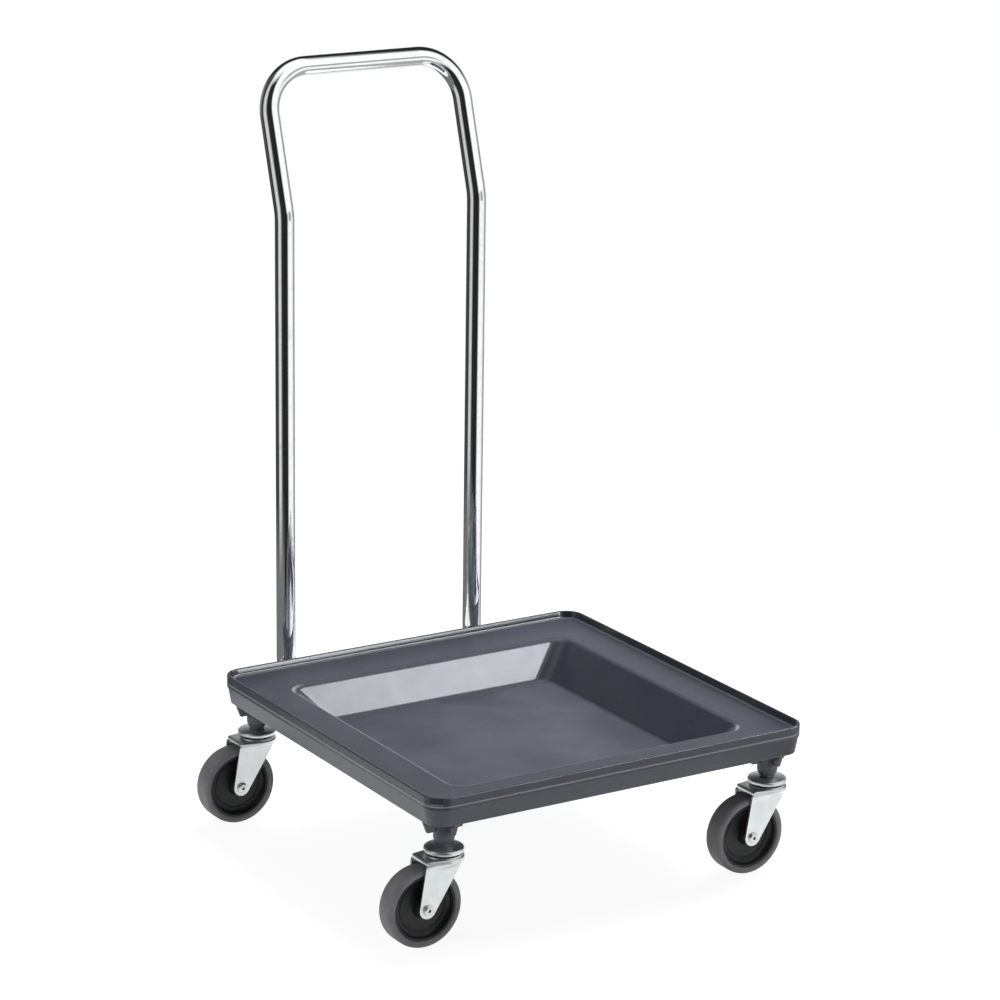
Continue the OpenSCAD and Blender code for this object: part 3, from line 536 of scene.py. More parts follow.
def slab(bm, points, thickness, place, soften=0.0):
    # a flat plate with the given outline in its own XY plane, centred on it
    verts = [bm.verts.new((x, y, -thickness / 2)) for x, y in points]
    face = bm.faces.new(verts)
    grown = bmesh.ops.extrude_face_region(bm, geom=[face])["geom"]
    top = [g for g in grown if isinstance(g, bmesh.types.BMVert)]
    bmesh.ops.translate(bm, vec=(0, 0, thickness), verts=top)
    whole = verts + top
    bmesh.ops.transform(bm, matrix=place, verts=whole)
    if soften > 0:
        edges = {edge for vert in whole for edge in vert.link_edges}
        bmesh.ops.bevel(bm, geom=list(edges), offset=soften, affect="EDGES",
                        segments=2, profile=0.5, material=-1)


def frameAt(origin, xAxis, yAxis):
    x, y = Vector(xAxis), Vector(yAxis)
    z = x.cross(y)
    rows = Matrix((x, y, z)).transposed().to_4x4()
    return Matrix.Translation(origin) @ rows


# Tray: one skin of rounded rectangles, grown ring by ring from under the floor to the basin's floor

def easedInset(height, radius, slope):
    # how far a sloping wall stands from its sharp corner, with the corner rounded
    if height < radius * (1 - math.cos(slope)):
        return math.sqrt(radius ** 2 - (radius - height) ** 2) - radius * math.tan(slope / 2)
    return height / math.tan(slope)


def wallInset(z, draft, fillet):
    slope = math.atan(tray["basinDepth"] / draft)
    if z > basinZ + tray["basinDepth"] / 2:
        return easedInset(max(ledgeZ - z, 0), tray["basinEdgeR"], slope)
    return draft - easedInset(z - basinZ, fillet, slope)


def rimRing(inset, z):
    return (inset, inset, inset, max(tray["cornerR"] - inset, tray["leastCornerR"]), z)


def basinRing(z, shell):
    fillet = tray["floorFillet"] + shell
    sideSlope = math.atan(tray["basinDepth"] / tray["sideDraft"])
    endSlope = math.atan(tray["basinDepth"] / tray["endDraft"])
    side = wallInset(z, tray["sideDraft"], fillet) - shell * math.tan(sideSlope / 2)
    end = wallInset(z, tray["endDraft"], fillet) - shell * math.tan(endSlope / 2)
    radius = tray["basinCornerR"] + shell / 2
    return (tray["rimSide"] + side, tray["rimFront"] + end, tray["rimBack"] + end, radius, z - shell)


def basinRings(shell, steps=8):
    steepest = math.atan(tray["basinDepth"] / tray["endDraft"])
    foot = tray["floorFillet"] + shell
    edge = tray["basinEdgeR"]
    rises = [1 - math.cos(steepest * k / steps) for k in range(steps + 1)]
    low = [basinRing(basinZ + foot * rise, shell) for rise in rises]
    high = [basinRing(ledgeZ - edge * rise, shell) for rise in reversed(rises)]
    return low + high


def arcRings(inset, z, radius, start, end, steps):
    # rings along a round edge; 0 degrees points inwards and 90 up
    angles = [math.radians(start + (end - start) * k / steps) for k in range(steps + 1)]
    return [rimRing(inset + radius * math.cos(a), z + radius * math.sin(a)) for a in angles]


def trayRings():
    rings = basinRings(tray["wall"])
    inner = tray["bandStep"] + tray["wall"]
    outer = tray["bandStep"] + tray["skirtDraft"]
    # inside of the skirt, and round its lower edge
    soft = tray["plateFillet"]
    for share, drop in ((1, 0), (0.28, 0.28), (0, 1)):
        rings.append(rimRing(inner + soft * share, plateZ - soft * drop))
    soft = tray["skirtRound"]
    rings += arcRings(inner + tray["skirtDraft"] - soft, skirtZ + soft, soft, 0, -90, 3)
    rings += arcRings(outer + soft, skirtZ + soft, soft, -90, -180, 3)
    # outside: the step under the band, the band, the lip's round top and its foot
    rings += [rimRing(tray["bandStep"] * share, bandZ + rise) for share, rise in tray["stepRings"]]
    soft = tray["lipRound"]
    rings += arcRings(soft, lipZ - soft, soft, 180, 90, 5)
    rings += arcRings(tray["lipT"] - soft, lipZ - soft, soft, 90, 0, 5)
    fillet = tray["lipFillet"]
    rings += arcRings(tray["lipT"] + tray["lipDraft"] + fillet, ledgeZ + fillet, fillet, 180, 270, 6)
    return rings + basinRings(0.0)[::-1]


def ringCorner(ring, sideX, sideY):
    side, front, back, radius, z = ring
    y = halfWid - back - radius if sideY > 0 else front + radius - halfWid
    return Vector((sideX * (halfLen - side - radius), y, z))


def growSkin(bm, rings, arcSteps=12):
    first = rings[0]
    middle = (ringCorner(first, -1, -1) + ringCorner(first, 1, 1)) / 2
    halfX = halfLen - first[0]
    halfY = halfWid - (first[1] + first[2]) / 2
    sheet = bmesh.ops.create_grid(bm, x_segments=1, y_segments=1, size=1.0)["verts"]
    bmesh.ops.scale(bm, vec=(halfX, halfY, 1), verts=sheet)
    bmesh.ops.translate(bm, vec=middle, verts=sheet)
    bmesh.ops.bevel(bm, geom=sheet, offset=first[3], affect="VERTICES",
                    segments=arcSteps, profile=0.5, material=-1)
    loop = bm.edges[:]
    for old, new in zip(rings, rings[1:]):
        loop = carryStraight(bm, loop, (0, 0, 0))
        moved = list({v for edge in loop for v in edge.verts})
        for sideX, sideY in quarters:
            start, end = ringCorner(old, sideX, sideY), ringCorner(new, sideX, sideY)
            mine = [v for v in moved if v.co.x * sideX > 0 and (v.co.y - middle.y) * sideY > 0]
            grow = new[3] / old[3]
            bmesh.ops.scale(bm, vec=(grow, grow, 1), space=Matrix.Translation(-start), verts=mine)
            bmesh.ops.translate(bm, vec=end - start, verts=mine)
    bmesh.ops.contextual_create(bm, geom=loop)


def ribProfile(reach, lowZ):
    # side view of a rib grown out of the skirt: distance in from the tray's face, height
    topZ = plateZ + tray["wall"] / 2
    inTop = tray["bandStep"] + tray["wall"] / 2
    slope = tray["skirtDraft"] / (bandZ - skirtZ)
    edgeIn = inTop + (bandZ - lowZ) * slope
    return [(inTop, topZ), (inTop, bandZ), (edgeIn, lowZ), (reach, lowZ), (reach, topZ)]


def postOffset():
    # from the middle of the handle to each of its posts
    low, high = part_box("handle_plugs")
    return (high.x - low.x) / 2 - handle["tubeR"]


def addRibs(bm):
    basinLen = 2 * (halfLen - tray["rimSide"])
    basinWid = 2 * halfWid - tray["rimFront"] - tray["rimBack"]
    pocketHalf = handle["tubeR"] + tray["clearance"] + tray["pocketWall"]
    sides = (
        ((0, -halfWid), (0, 1), (1, 0), basinLen, tray["rimFront"]),
        ((halfLen, 0), (-1, 0), (0, 1), basinWid, tray["rimSide"]),
        ((0, halfWid), (0, -1), (1, 0), basinLen, tray["rimBack"]),
        ((-halfLen, 0), (1, 0), (0, 1), basinWid, tray["rimSide"]),
    )
    for start, inward, along, length, reach in sides:
        for k in range(tray["sideRibs"]):
            offset = length * ((k + 0.5) / tray["sideRibs"] - 0.5)
            if start[1] > 0 and abs(abs(offset) - postOffset()) <= pocketHalf + tray["ribT"]:
                continue  # a pocket is in the way
            origin = Vector((start[0] + along[0] * offset, start[1] + along[1] * offset, 0))
            place = frameAt(origin, (*inward, 0), (0, 0, 1))
            profile = ribProfile(reach + tray["ribOver"], skirtZ + tray["ribSetback"])
            slab(bm, profile, tray["ribT"], place, tray["ribRound"])
    # low ribs under the floor
    flatLen = basinLen - 2 * tray["sideDraft"] - 2 * tray["floorFillet"]
    flatWid = basinWid - 2 * tray["endDraft"] - 2 * tray["floorFillet"]
    basinY = (tray["rimFront"] - tray["rimBack"]) / 2
    lowZ = basinZ - tray["wall"] - tray["floorRibH"]
    highZ = basinZ - tray["wall"] / 2
    for k in range(tray["floorRibs"]):
        share = (k + 0.5) / tray["floorRibs"] - 0.5
        lengthwise = (flatLen / 2, Vector((0, basinY + flatWid * share, 0)), (1, 0, 0))
        crosswise = (flatWid / 2, Vector((flatLen * share, basinY, 0)), (0, 1, 0))
        for half, origin, along in (lengthwise, crosswise):
            bar = [(-half, lowZ), (half, lowZ), (half, highZ), (-half, highZ)]
            slab(bm, bar, tray["ribT"], frameAt(origin, along, (0, 0, 1)), tray["ribRound"])


def addBosses(bm):
    topZ = plateZ + tray["wall"] / 2
    lowR = tray["bossR"] - tray["bossTaper"]
    boreTop = bossZ + tray["boreDepth"]
    noseIn, noseUp = tray["bossNose"]
    faceRound, noseRound = tray["bossRounds"]
    closed = tray["axisGap"]
    outline = [
        (tray["boreR"], bossZ, 0), (lowR - noseIn, bossZ, faceRound), (lowR, bossZ + noseUp, noseRound),
        (tray["bossR"], topZ, 0), (closed, topZ, 0), (closed, boreTop, 0), (tray["boreR"], boreTop, 0),
    ]
    flat = tray["gussetFlat"]
    lowZ = skirtZ - tray["gussetDrop"]
    lean = tray["bandStep"] + tray["skirtDraft"] + tray["sunk"]
    for corner, (sideX, sideY) in zip(corners, quarters):
        axis = centreOf(f"stem_{corner}") - trayCentre
        axis.z = 0
        lathe(bm, outline, Matrix.Translation(axis), 48)
        reaches = (halfLen - abs(axis.x), halfWid - abs(axis.y))
        for reach, across in zip(reaches, (Vector((sideX, 0, 0)), Vector((0, sideY, 0)))):
            skirtIn = reach - lean
            points = [
                (-flat - tray["gussetLean"], topZ), (-flat, lowZ), (flat, lowZ),
                (skirtIn, skirtZ + tray["sunk"]),
                (skirtIn + tray["skirtDraft"], bandZ), (skirtIn + tray["skirtDraft"], topZ),
            ]
            slab(bm, points, tray["gussetT"], frameAt(axis, across, (0, 0, 1)), tray["gussetRound"])


def addPockets(bm):
    # each foot of the handle lies in a channel between two walls
    plugLow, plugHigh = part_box("handle_plugs")
    footZ = (plugLow.z + plugHigh.z) / 2
    bore = handle["tubeR"] + tray["clearance"]
    half = bore + tray["pocketWall"]
    lowZ = footZ - handle["tubeR"] + tray["pocketRise"]
    topZ = plateZ + tray["wall"] / 2
    outIn = tray["bandStep"] + tray["wall"] / 2
    reach = tray["rimBack"] - tray["pocketShort"]
    arch = [(-bore * math.cos(a), footZ + bore * math.sin(a)) for a in (math.pi * k / 16 for k in range(17))]
    points = [(half, topZ), (-half, topZ), (-half, lowZ), (-bore, lowZ), *arch, (bore, lowZ), (half, lowZ)]
    for side in (-1, 1):
        part = bmesh.new()
        middle = Vector((side * postOffset(), halfWid - (outIn + reach) / 2, 0))
        slab(part, points, reach - outIn, frameAt(middle, (1, 0, 0), (0, 0, 1)))
        # the outer end follows the leaning skirt, and is cut back below it
        slope = Vector((0, bandZ - skirtZ, -tray["skirtDraft"]))
        edge = Vector((0, halfWid - outIn - tray["skirtDraft"], skirtZ))
        for normal in (slope, Vector((0, 1.0, -0.6))):
            everything = part.verts[:] + part.edges[:] + part.faces[:]
            cut = bmesh.ops.bisect_plane(part, geom=everything, clear_outer=True,
                                         plane_co=edge, plane_no=normal)
            rim = [g for g in cut["geom_cut"] if isinstance(g, bmesh.types.BMEdge)]
            bmesh.ops.contextual_create(part, geom=rim)
        sharp = [edge for edge in part.edges if edge.calc_face_angle(0.0) > math.radians(50)]
        bmesh.ops.bevel(part, geom=sharp, offset=tray["pocketRound"], affect="EDGES",
                        segments=2, profile=0.5, material=-1)
        scrap = bpy.data.meshes.new("pocket")
        part.to_mesh(scrap)
        part.free()
        bm.from_mesh(scrap)
        bpy.data.meshes.remove(scrap)


def buildTray():
    bm = bmesh.new()
    growSkin(bm, trayRings())
    addRibs(bm)
    addBosses(bm)
    addPockets(bm)
    bmesh.ops.translate(bm, vec=trayCentre, verts=bm.verts)
    piece = finishPiece("trayShell", bm, "tray_plastic", "chassis", ["tray"], 50)
    weighNormals(piece)
    print("tray made:", len(piece.data.polygons), "faces")


# Handle: a ring of the tube's section carried along straights and bends, then mirrored

handle = {
    "tubeR": 12.7 * mm, "wall": 1.5 * mm, "plugDepth": 10 * mm,
    "leanAngle": math.radians(17.4), "cornerBendR": 60 * mm, "kinkBendR": 60 * mm, "footBendR": 38 * mm,
    "kinkZ": 768 * mm, "leanLen": 187 * mm, "footLen": 88 * mm, "around": 56,
}


def carryBend(bm, loop, centre, axis, angle, steps):
    verts = list({v for edge in loop for v in edge.verts})
    turned = bmesh.ops.spin(bm, geom=verts + loop, cent=centre, axis=axis, dvec=(0, 0, 0), angle=angle,
                            steps=steps, use_merge=False, use_duplicate=False)
    return [g for g in turned["geom_last"] if isinstance(g, bmesh.types.BMEdge)]


def buildHandle():
    low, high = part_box("handle")
    radius = handle["tubeR"]
    postX = (high.x - low.x) / 2 - radius
    footZ = centreOf("handle_plugs").z
    footEnd = low.y
    footY = footEnd + handle["footLen"]
    postY = footY + handle["footBendR"]
    lean = handle["leanAngle"]
    kinkCut = handle["kinkBendR"] * math.tan(lean / 2)
    middleX = (low.x + high.x) / 2
    up = Vector((0, math.sin(lean), math.cos(lean)))
    bm = bmesh.new()
    turn = Matrix.Translation((postX, footEnd, footZ)) @ Matrix.Rotation(math.radians(90), 4, "X")
    bmesh.ops.create_circle(bm, cap_ends=False, segments=handle["around"], radius=radius, matrix=turn)
    mouth = bm.edges[:]
    loop = carryStraight(bm, mouth, (0, handle["footLen"], 0))
    loop = carryBend(bm, loop, (postX, footY, footZ + handle["footBendR"]), (1, 0, 0), math.radians(90), 24)
    postTop = handle["kinkZ"] - kinkCut
    loop = carryStraight(bm, loop, (0, 0, postTop - footZ - handle["footBendR"]))
    loop = carryBend(bm, loop, (postX, postY + handle["kinkBendR"], postTop), (-1, 0, 0), lean, 8)
    leanLen = handle["leanLen"] - handle["cornerBendR"]
    loop = carryStraight(bm, loop, up * (leanLen - kinkCut))
    corner = Vector((postX - handle["cornerBendR"], postY, handle["kinkZ"])) + up * leanLen
    loop = carryBend(bm, loop, corner, (0, -math.cos(lean), math.sin(lean)), math.radians(90), 28)
    carryStraight(bm, loop, (-(postX - handle["cornerBendR"]), 0, 0))
    # the open end of the foot: the wall's thickness, then the bore as deep as the plug needs
    inner = carryStraight(bm, mouth, (0, 0, 0))
    verts = list({v for edge in inner for v in edge.verts})
    shrink = (radius - handle["wall"]) / radius
    hub = Vector((postX, footEnd, footZ))
    bmesh.ops.scale(bm, vec=(shrink, 1, shrink), space=Matrix.Translation(-hub), verts=verts)
    inner = carryStraight(bm, inner, (0, handle["plugDepth"], 0))
    bmesh.ops.contextual_create(bm, geom=inner)
    everything = bm.verts[:] + bm.edges[:] + bm.faces[:]
    bmesh.ops.mirror(bm, geom=everything, matrix=Matrix.Identity(4), merge_dist=1e-5, axis="X")
    bmesh.ops.translate(bm, vec=(middleX, 0, 0), verts=bm.verts)
    piece = finishPiece("handleTube", bm, "chromed_tube", "chassis", ["handle"])
    print("handle made:", len(piece.data.polygons), "faces")


# Casters

caster = {
    "sheet": 2.8 * mm, "crownR": 25 * mm, "crownBack": 33.3 * mm, "seatR": 23 * mm, "seatStep": 1.4 * mm,
    "seatEdge": ((-0.8 * mm, 0), (-0.25 * mm, 0.25 * mm), (0, 0.8 * mm)),
    "pinHoleR": 5.05 * mm, "ballRingR": 18.025 * mm, "grooveR": 3.225 * mm, "grooveDepth": 0.45 * mm,
    "crownRound": 2.6 * mm, "lipDrop": 4.5 * mm, "blendDrop": 14 * mm, "trail": 32 * mm,
    "legEndR": 11 * mm, "legFront": 19 * mm, "edgeRound": 0.45 * mm, "around": 96,
    "legRows": (1.6 * mm, 3.2 * mm, 4.8 * mm, 6.4 * mm, 8 * mm, 9.6 * mm, 16 * mm, 26 * mm),
}
sleeveLow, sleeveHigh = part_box("axle_sleeve_front_left")
forkHalf = (sleeveHigh.y - sleeveLow.y) / 2 + caster["sheet"]


def crownReach(angle):
    # distance from the swivel axis to the crown's outline: round in front, straight across the back
    radius, back, half = caster["crownR"], caster["crownBack"], forkHalf
    angle = abs(math.remainder(angle, math.tau))
    cornerAngle = math.atan2(half, -back)
    tangent = cornerAngle - math.acos(radius / math.hypot(back, half))
    if angle <= tangent:
        return radius
    if angle <= cornerAngle:
        return radius / math.cos(angle - tangent)
    return -back / math.cos(angle)


def legEdges(z, axleZ, crownZ):
    # front and back of the leg at a height: two lines that touch the round end
    radius = caster["legEndR"]
    axle = Vector((-caster["trail"], axleZ))
    found = []
    front = Vector((caster["legFront"], crownZ))
    back = Vector((-caster["crownBack"], crownZ))
    for start, turn in ((front, -1), (back, 1)):
        away = start - axle
        spread = math.acos(radius / away.length)
        heading = math.atan2(away.y, away.x) + turn * spread
        touch = axle + radius * Vector((math.cos(heading), math.sin(heading)))
        if z >= touch.y:
            share = (z - touch.y) / (start.y - touch.y)
            found.append(touch.x + (start.x - touch.x) * share)
        else:
            half = math.sqrt(max(radius ** 2 - (z - axle.y) ** 2, 0))
            found.append(axle.x - turn * half)
    return found


def nextRing(bm, loop, reach, z):
    # one more ring at height z, as far from the axis as reach says for each direction
    fresh = carryStraight(bm, loop, (0, 0, 0))
    for vert in {v for edge in fresh for v in edge.verts}:
        angle = math.atan2(vert.co.y, vert.co.x)
        far = reach(angle)
        vert.co = (far * math.cos(angle), far * math.sin(angle), z)
    return fresh


def drawCrown(bm, seatZ, crownZ):
    # from the kingpin's hole over the balls' groove and the raised seat to the crown's turned edge
    bmesh.ops.create_circle(bm, cap_ends=False, segments=caster["around"], radius=caster["pinHoleR"],
                            matrix=Matrix.Translation((0, 0, seatZ)))
    loop = bm.edges[:]
    depth = caster["grooveDepth"]
    halfGroove = math.sqrt(caster["grooveR"] ** 2 - (caster["grooveR"] - depth) ** 2)
    for share, drop in ((-1, 0), (-0.5, 0.76), (0, 1), (0.5, 0.76), (1, 0)):
        radius = caster["ballRingR"] + share * halfGroove
        loop = nextRing(bm, loop, lambda angle: radius, seatZ - drop * depth)
    for out, drop in (*caster["seatEdge"], (0.1 * mm, caster["seatStep"])):
        radius = caster["seatR"] + out
        loop = nextRing(bm, loop, lambda angle: radius, seatZ - drop)
    turnR = caster["crownRound"]
    least = caster["seatR"] + 0.2 * mm
    for step in range(6):
        a = math.radians(90 - 18 * step)
        inset = turnR * (1 - math.cos(a))
        z = crownZ - turnR + turnR * math.sin(a)
        loop = nextRing(bm, loop, lambda angle: max(crownReach(angle) - inset, least), z)
    return nextRing(bm, loop, crownReach, crownZ - caster["lipDrop"])


def placeKey(vert):
    return tuple(round(part, 6) for part in vert.co)


def drawLegs(bm, lip, lipZ, crownZ, axleZ):
    # the crown's two sides carry on down as legs, and draw in from its round to the leg's flat
    front = math.acos(caster["legFront"] / caster["crownR"]) - math.radians(1.15)
    back = math.atan2(forkHalf, -caster["crownBack"]) + math.radians(2)
    loop = [e for e in lip if all(front < abs(math.atan2(v.co.y, v.co.x)) < back for v in e.verts)]
    rows = [lipZ - drop for drop in caster["legRows"]] + [axleZ + caster["legEndR"] + 1 * mm]
    rows += [axleZ + caster["legEndR"] * math.sin(math.radians(a)) for a in range(36, -88, -8)]
    blendZ = crownZ - caster["blendDrop"]
    onLip = {vert: vert.co.copy() for edge in loop for vert in edge.verts}
    least = min(place.x for place in onLip.values())
    most = max(place.x for place in onLip.values())
    for z in rows:
        above = {placeKey(vert): place for vert, place in onLip.items()}
        loop = carryStraight(bm, loop, (0, 0, 0))
        onLip = {vert: above[placeKey(vert)] for edge in loop for vert in edge.verts}
        frontX, backX = legEdges(z, axleZ, crownZ)
        t = min((lipZ - z) / (lipZ - blendZ), 1)
        ease = t * t * (3 - 2 * t)
        for vert, place in onLip.items():
            share = (place.x - least) / (most - least)
            y = place.y + (math.copysign(forkHalf, place.y) - place.y) * ease
            vert.co = (backX + (frontX - backX) * share, y, z)


def buildFork(corner):
    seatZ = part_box(f"fork_{corner}")[1].z
    crownZ = seatZ - caster["seatStep"]
    axleZ = centreOf(f"tread_{corner}").z
    bm = bmesh.new()
    lip = drawCrown(bm, seatZ, crownZ)
    drawLegs(bm, lip, crownZ - caster["lipDrop"], crownZ, axleZ)
    axis = centreOf(f"stem_{corner}")
    bmesh.ops.translate(bm, vec=(axis.x, axis.y, 0), verts=bm.verts)
    piece = finishPiece(f"forkPressing_{corner}", bm, "zinc_steel", f"swivel_{corner}",
                        [f"fork_{corner}"], 60)
    if piece.data.polygons[0].normal.z < 0:
        piece.data.flip_normals()
    sheet = piece.modifiers.new("sheet", "SOLIDIFY")
    sheet.thickness = caster["sheet"]
    sheet.offset = -1.0
    sheet.use_even_offset = True
    edges = piece.modifiers.new("broken edges", "BEVEL")
    edges.width = caster["edgeRound"]
    edges.segments = 2
    edges.limit_method = "ANGLE"
    edges.angle_limit = math.radians(50)
    weighNormals(piece)


race = {
    "sheet": 2.5 * mm, "shoulderR": 11 * mm, "shoulderRound": 3 * mm,
    "domeDrop": 2.31 * mm, "domeRound": 2.19 * mm, "rimT": 2.2 * mm, "rimRound": 0.4 * mm,
    "plateDrop": 4.7 * mm, "plateCorner": 0.8 * mm, "cone": (10.3 * mm, 14.8 * mm),
    "trackR": 18.03 * mm, "trackRise": 0.44 * mm, "trackRound": 0.8 * mm,
    "trackSides": (16.4 * mm, 19.6 * mm),
}


def buildRace(corner):
    low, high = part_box(f"upper_race_{corner}")
    top, rim = high.z, low.z
    radius = (high.x - low.x) / 2
    inner = radius - race["rimT"]
    under = top - race["sheet"]
    plate = top - race["plateDrop"]
    cut = race["plateCorner"]
    trackIn, trackOut = race["trackSides"]
    coneIn, coneOut = race["cone"]
    outline = [
        (caster["pinHoleR"], top, 0), (race["shoulderR"], top, race["shoulderRound"]),
        (radius, top - race["domeDrop"], race["domeRound"]), (radius, rim, race["rimRound"]),
        (inner, rim, race["rimRound"]), (inner, plate - cut, 0), (inner - cut, plate, 0),
        (trackOut, plate, 0), (race["trackR"], plate + race["trackRise"], race["trackRound"]),
        (trackIn, plate, 0), (coneOut, plate, 0), (coneIn, under, 0), (caster["pinHoleR"], under, 0),
    ]
    bm = bmesh.new()
    axis = centreOf(f"upper_race_{corner}")
    lathe(bm, outline, Matrix.Translation((axis.x, axis.y, 0)), 96)
    finishPiece(f"domedRace_{corner}", bm, "race_steel", bodyOf(f"upper_race_{corner}"),
                [f"upper_race_{corner}"])


def bodyOf(node):
    return frame["nodes"][node]["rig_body"]


def axlePlace(node):
    # local Z along the axle, towards the front
    return Matrix.Translation(centreOf(node)) @ Matrix.Rotation(math.radians(90), 4, "X")


def mirrored(half):
    return half + [(radius, -height, soft) for radius, height, soft in reversed(half)]


wheel = {
    "flange": 3.2 * mm, "flangeT": 2.5 * mm, "flangeSeat": 4 * mm,
    "flangeEdge": (0.6 * mm, 0.8 * mm, 0.4 * mm), "rimDrop": 2 * mm, "gap": 0.02 * mm,
    "sideStep": 1.6 * mm, "stepRound": 1 * mm, "shoulderDrop": 0.35 * mm, "shoulderRound": 4.8 * mm,
    "crownHalf": 3 * mm, "crownRound": 2 * mm, "bushR": 8.05 * mm,
    "boss": ((11.5 * mm, 0.8 * mm), (13.5 * mm, 1.2 * mm)), "webHalf": 4.5 * mm,
    # the hub's dish with its low ridge: in from the hub's edge, half width, softening
    "dish": ((8.4 * mm, 4.6 * mm, 0.5 * mm), (7.8 * mm, 5.8 * mm, 0.4 * mm), (6.6 * mm, 5.8 * mm, 0.4 * mm),
             (6 * mm, 5 * mm, 0.6 * mm), (1.6 * mm, 6.4 * mm, 2 * mm)),
}


def discSizes(node):
    # radius and half width of a round piece on the axle
    low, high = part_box(node)
    return (high.z - low.z) / 2, (high.y - low.y) / 2


def buildTread(corner):
    wheelR, halfTread = discSizes(f"tread_{corner}")
    hubR = discSizes(f"hub_{corner}")[0]
    rim = halfTread - wheel["rimDrop"]
    gap = wheel["gap"]
    flange = hubR + wheel["flange"] + gap
    half = [
        (hubR + gap, rim - wheel["flangeSeat"] - gap, 0), (flange, rim - wheel["flangeT"] - gap, 0),
        (flange, rim, 0), (flange - gap + wheel["sideStep"], halfTread, wheel["stepRound"]),
        (wheelR - wheel["shoulderDrop"], halfTread, wheel["shoulderRound"]),
        (wheelR, wheel["crownHalf"], wheel["crownRound"]),
    ]
    bm = bmesh.new()
    lathe(bm, mirrored(half), axlePlace(f"tread_{corner}"), 128)
    finishPiece(f"wheelTread_{corner}", bm, "tread_rubber", f"wheel_{corner}",
                [f"tread_{corner}"])


def buildHub(corner):
    hubR, halfHub = discSizes(f"hub_{corner}")
    rim = discSizes(f"tread_{corner}")[1] - wheel["rimDrop"]
    flange = hubR + wheel["flange"]
    rise, riseRound, edgeRound = wheel["flangeEdge"]
    (bossR, bossSoft), (webR, webSoft) = wheel["boss"]
    half = [(wheel["bushR"], halfHub, 0), (bossR, halfHub, bossSoft), (webR, wheel["webHalf"], webSoft)]
    half += [(hubR - inward, height, soft) for inward, height, soft in wheel["dish"]]
    half += [
        (hubR + rise, rim, riseRound), (flange, rim, edgeRound),
        (flange, rim - wheel["flangeT"], 0), (hubR, rim - wheel["flangeSeat"], 0),
    ]
    bm = bmesh.new()
    lathe(bm, mirrored(half), axlePlace(f"hub_{corner}"), 128)
    finishPiece(f"wheelHub_{corner}", bm, "hub_plastic", f"wheel_{corner}", [f"hub_{corner}"])


buildTray()
buildHandle()
for corner in corners:
    buildFork(corner)
    buildRace(corner)
    buildTread(corner)
    buildHub(corner)
print("casters made")


# CAD nodes: each gets its finish, also those that a new piece replaces

nodeFinishes = {
    "tray_plastic": ["tray"], "chromed_tube": ["handle"], "insert_brass": ["stem_inserts"],
    "zinc_steel": ["fork", "lower_race", "axle_bolt", "axle_nut", "handle_bolts", "handle_washers",
                   "handle_nuts"],
    # the stem gets the darkened steel that paints shade over its hexagon
    "race_steel": ["upper_race"], "shaded_stem_steel": ["stem"], "tread_rubber": ["tread"], "hub_plastic": ["hub"],
    "bearing_steel": ["upper_balls", "lower_balls", "axle_sleeve"],
    "black_nylon": ["hub_bush", "handle_plugs"],
}
finishOf = {kind: finish for finish, kinds in nodeFinishes.items() for kind in kinds}
for name, node in frame["nodes"].items():
    kind = name
    for corner in corners:
        kind = kind.removesuffix("_" + corner)
    node.data.materials.clear()
    node.data.materials.append(materials[finishOf[kind]])
    node.data.shade_smooth()
    weld = node.modifiers.new("weld", "WELD")
    weld.merge_threshold = 2e-6
    split = node.modifiers.new("hard edges", "EDGE_SPLIT")
    split.split_angle = math.radians(36)
print("finishes given to the nodes")


# Studio

camera = {
    "azimuth": math.radians(-31.93), "elevation": math.radians(16.10), "roll": math.radians(0.796),
    "lens": 128.892, "distance": 4.44415, "target": Vector((0.00654, -0.06217, 0.45464)),
}


def placeCamera():
    a, e, r = camera["azimuth"], camera["elevation"], camera["roll"]
    back = Vector((math.sin(a) * math.cos(e), -math.cos(a) * math.cos(e), math.sin(e)))
    right = (-back).cross(Vector((0, 0, 1))).normalized()
    up = right.cross(-back)
    x = right * math.cos(r) + up * math.sin(r)
    y = up * math.cos(r) - right * math.sin(r)
    rows = Matrix((x, y, back)).transposed().to_4x4()
    data = bpy.data.cameras.new("camera")
    data.lens = camera["lens"]
    data.sensor_width = 36.0
    data.clip_end = 100.0
    eye = bpy.data.objects.new("camera", data)
    eye.matrix_world = Matrix.Translation(camera["target"] + back * camera["distance"]) @ rows
    bpy.context.scene.collection.objects.link(eye)
    bpy.context.scene.camera = eye


lamps = {
    "gleam": {"direction": (0.742, -0.482, 0.470), "distance": 3.0, "size": (3.6, 0.9), "radiance": 11.6,
              "colour": (0.92, 0.957, 1.0), "shinesOn": "trayShell"},
    "overhead": {"direction": (0.5, 0.3, 0.8), "distance": 2.6, "size": (2.2, 2.2), "radiance": 4.6},
    "left": {"direction": (-0.96, -0.10, 0.25), "distance": 2.6, "size": (1.6, 1.6), "radiance": 1.6},
    "front": {"direction": (0.35, -0.93, 0.10), "distance": 2.9, "size": (1.4, 0.8), "radiance": 2.1},
}


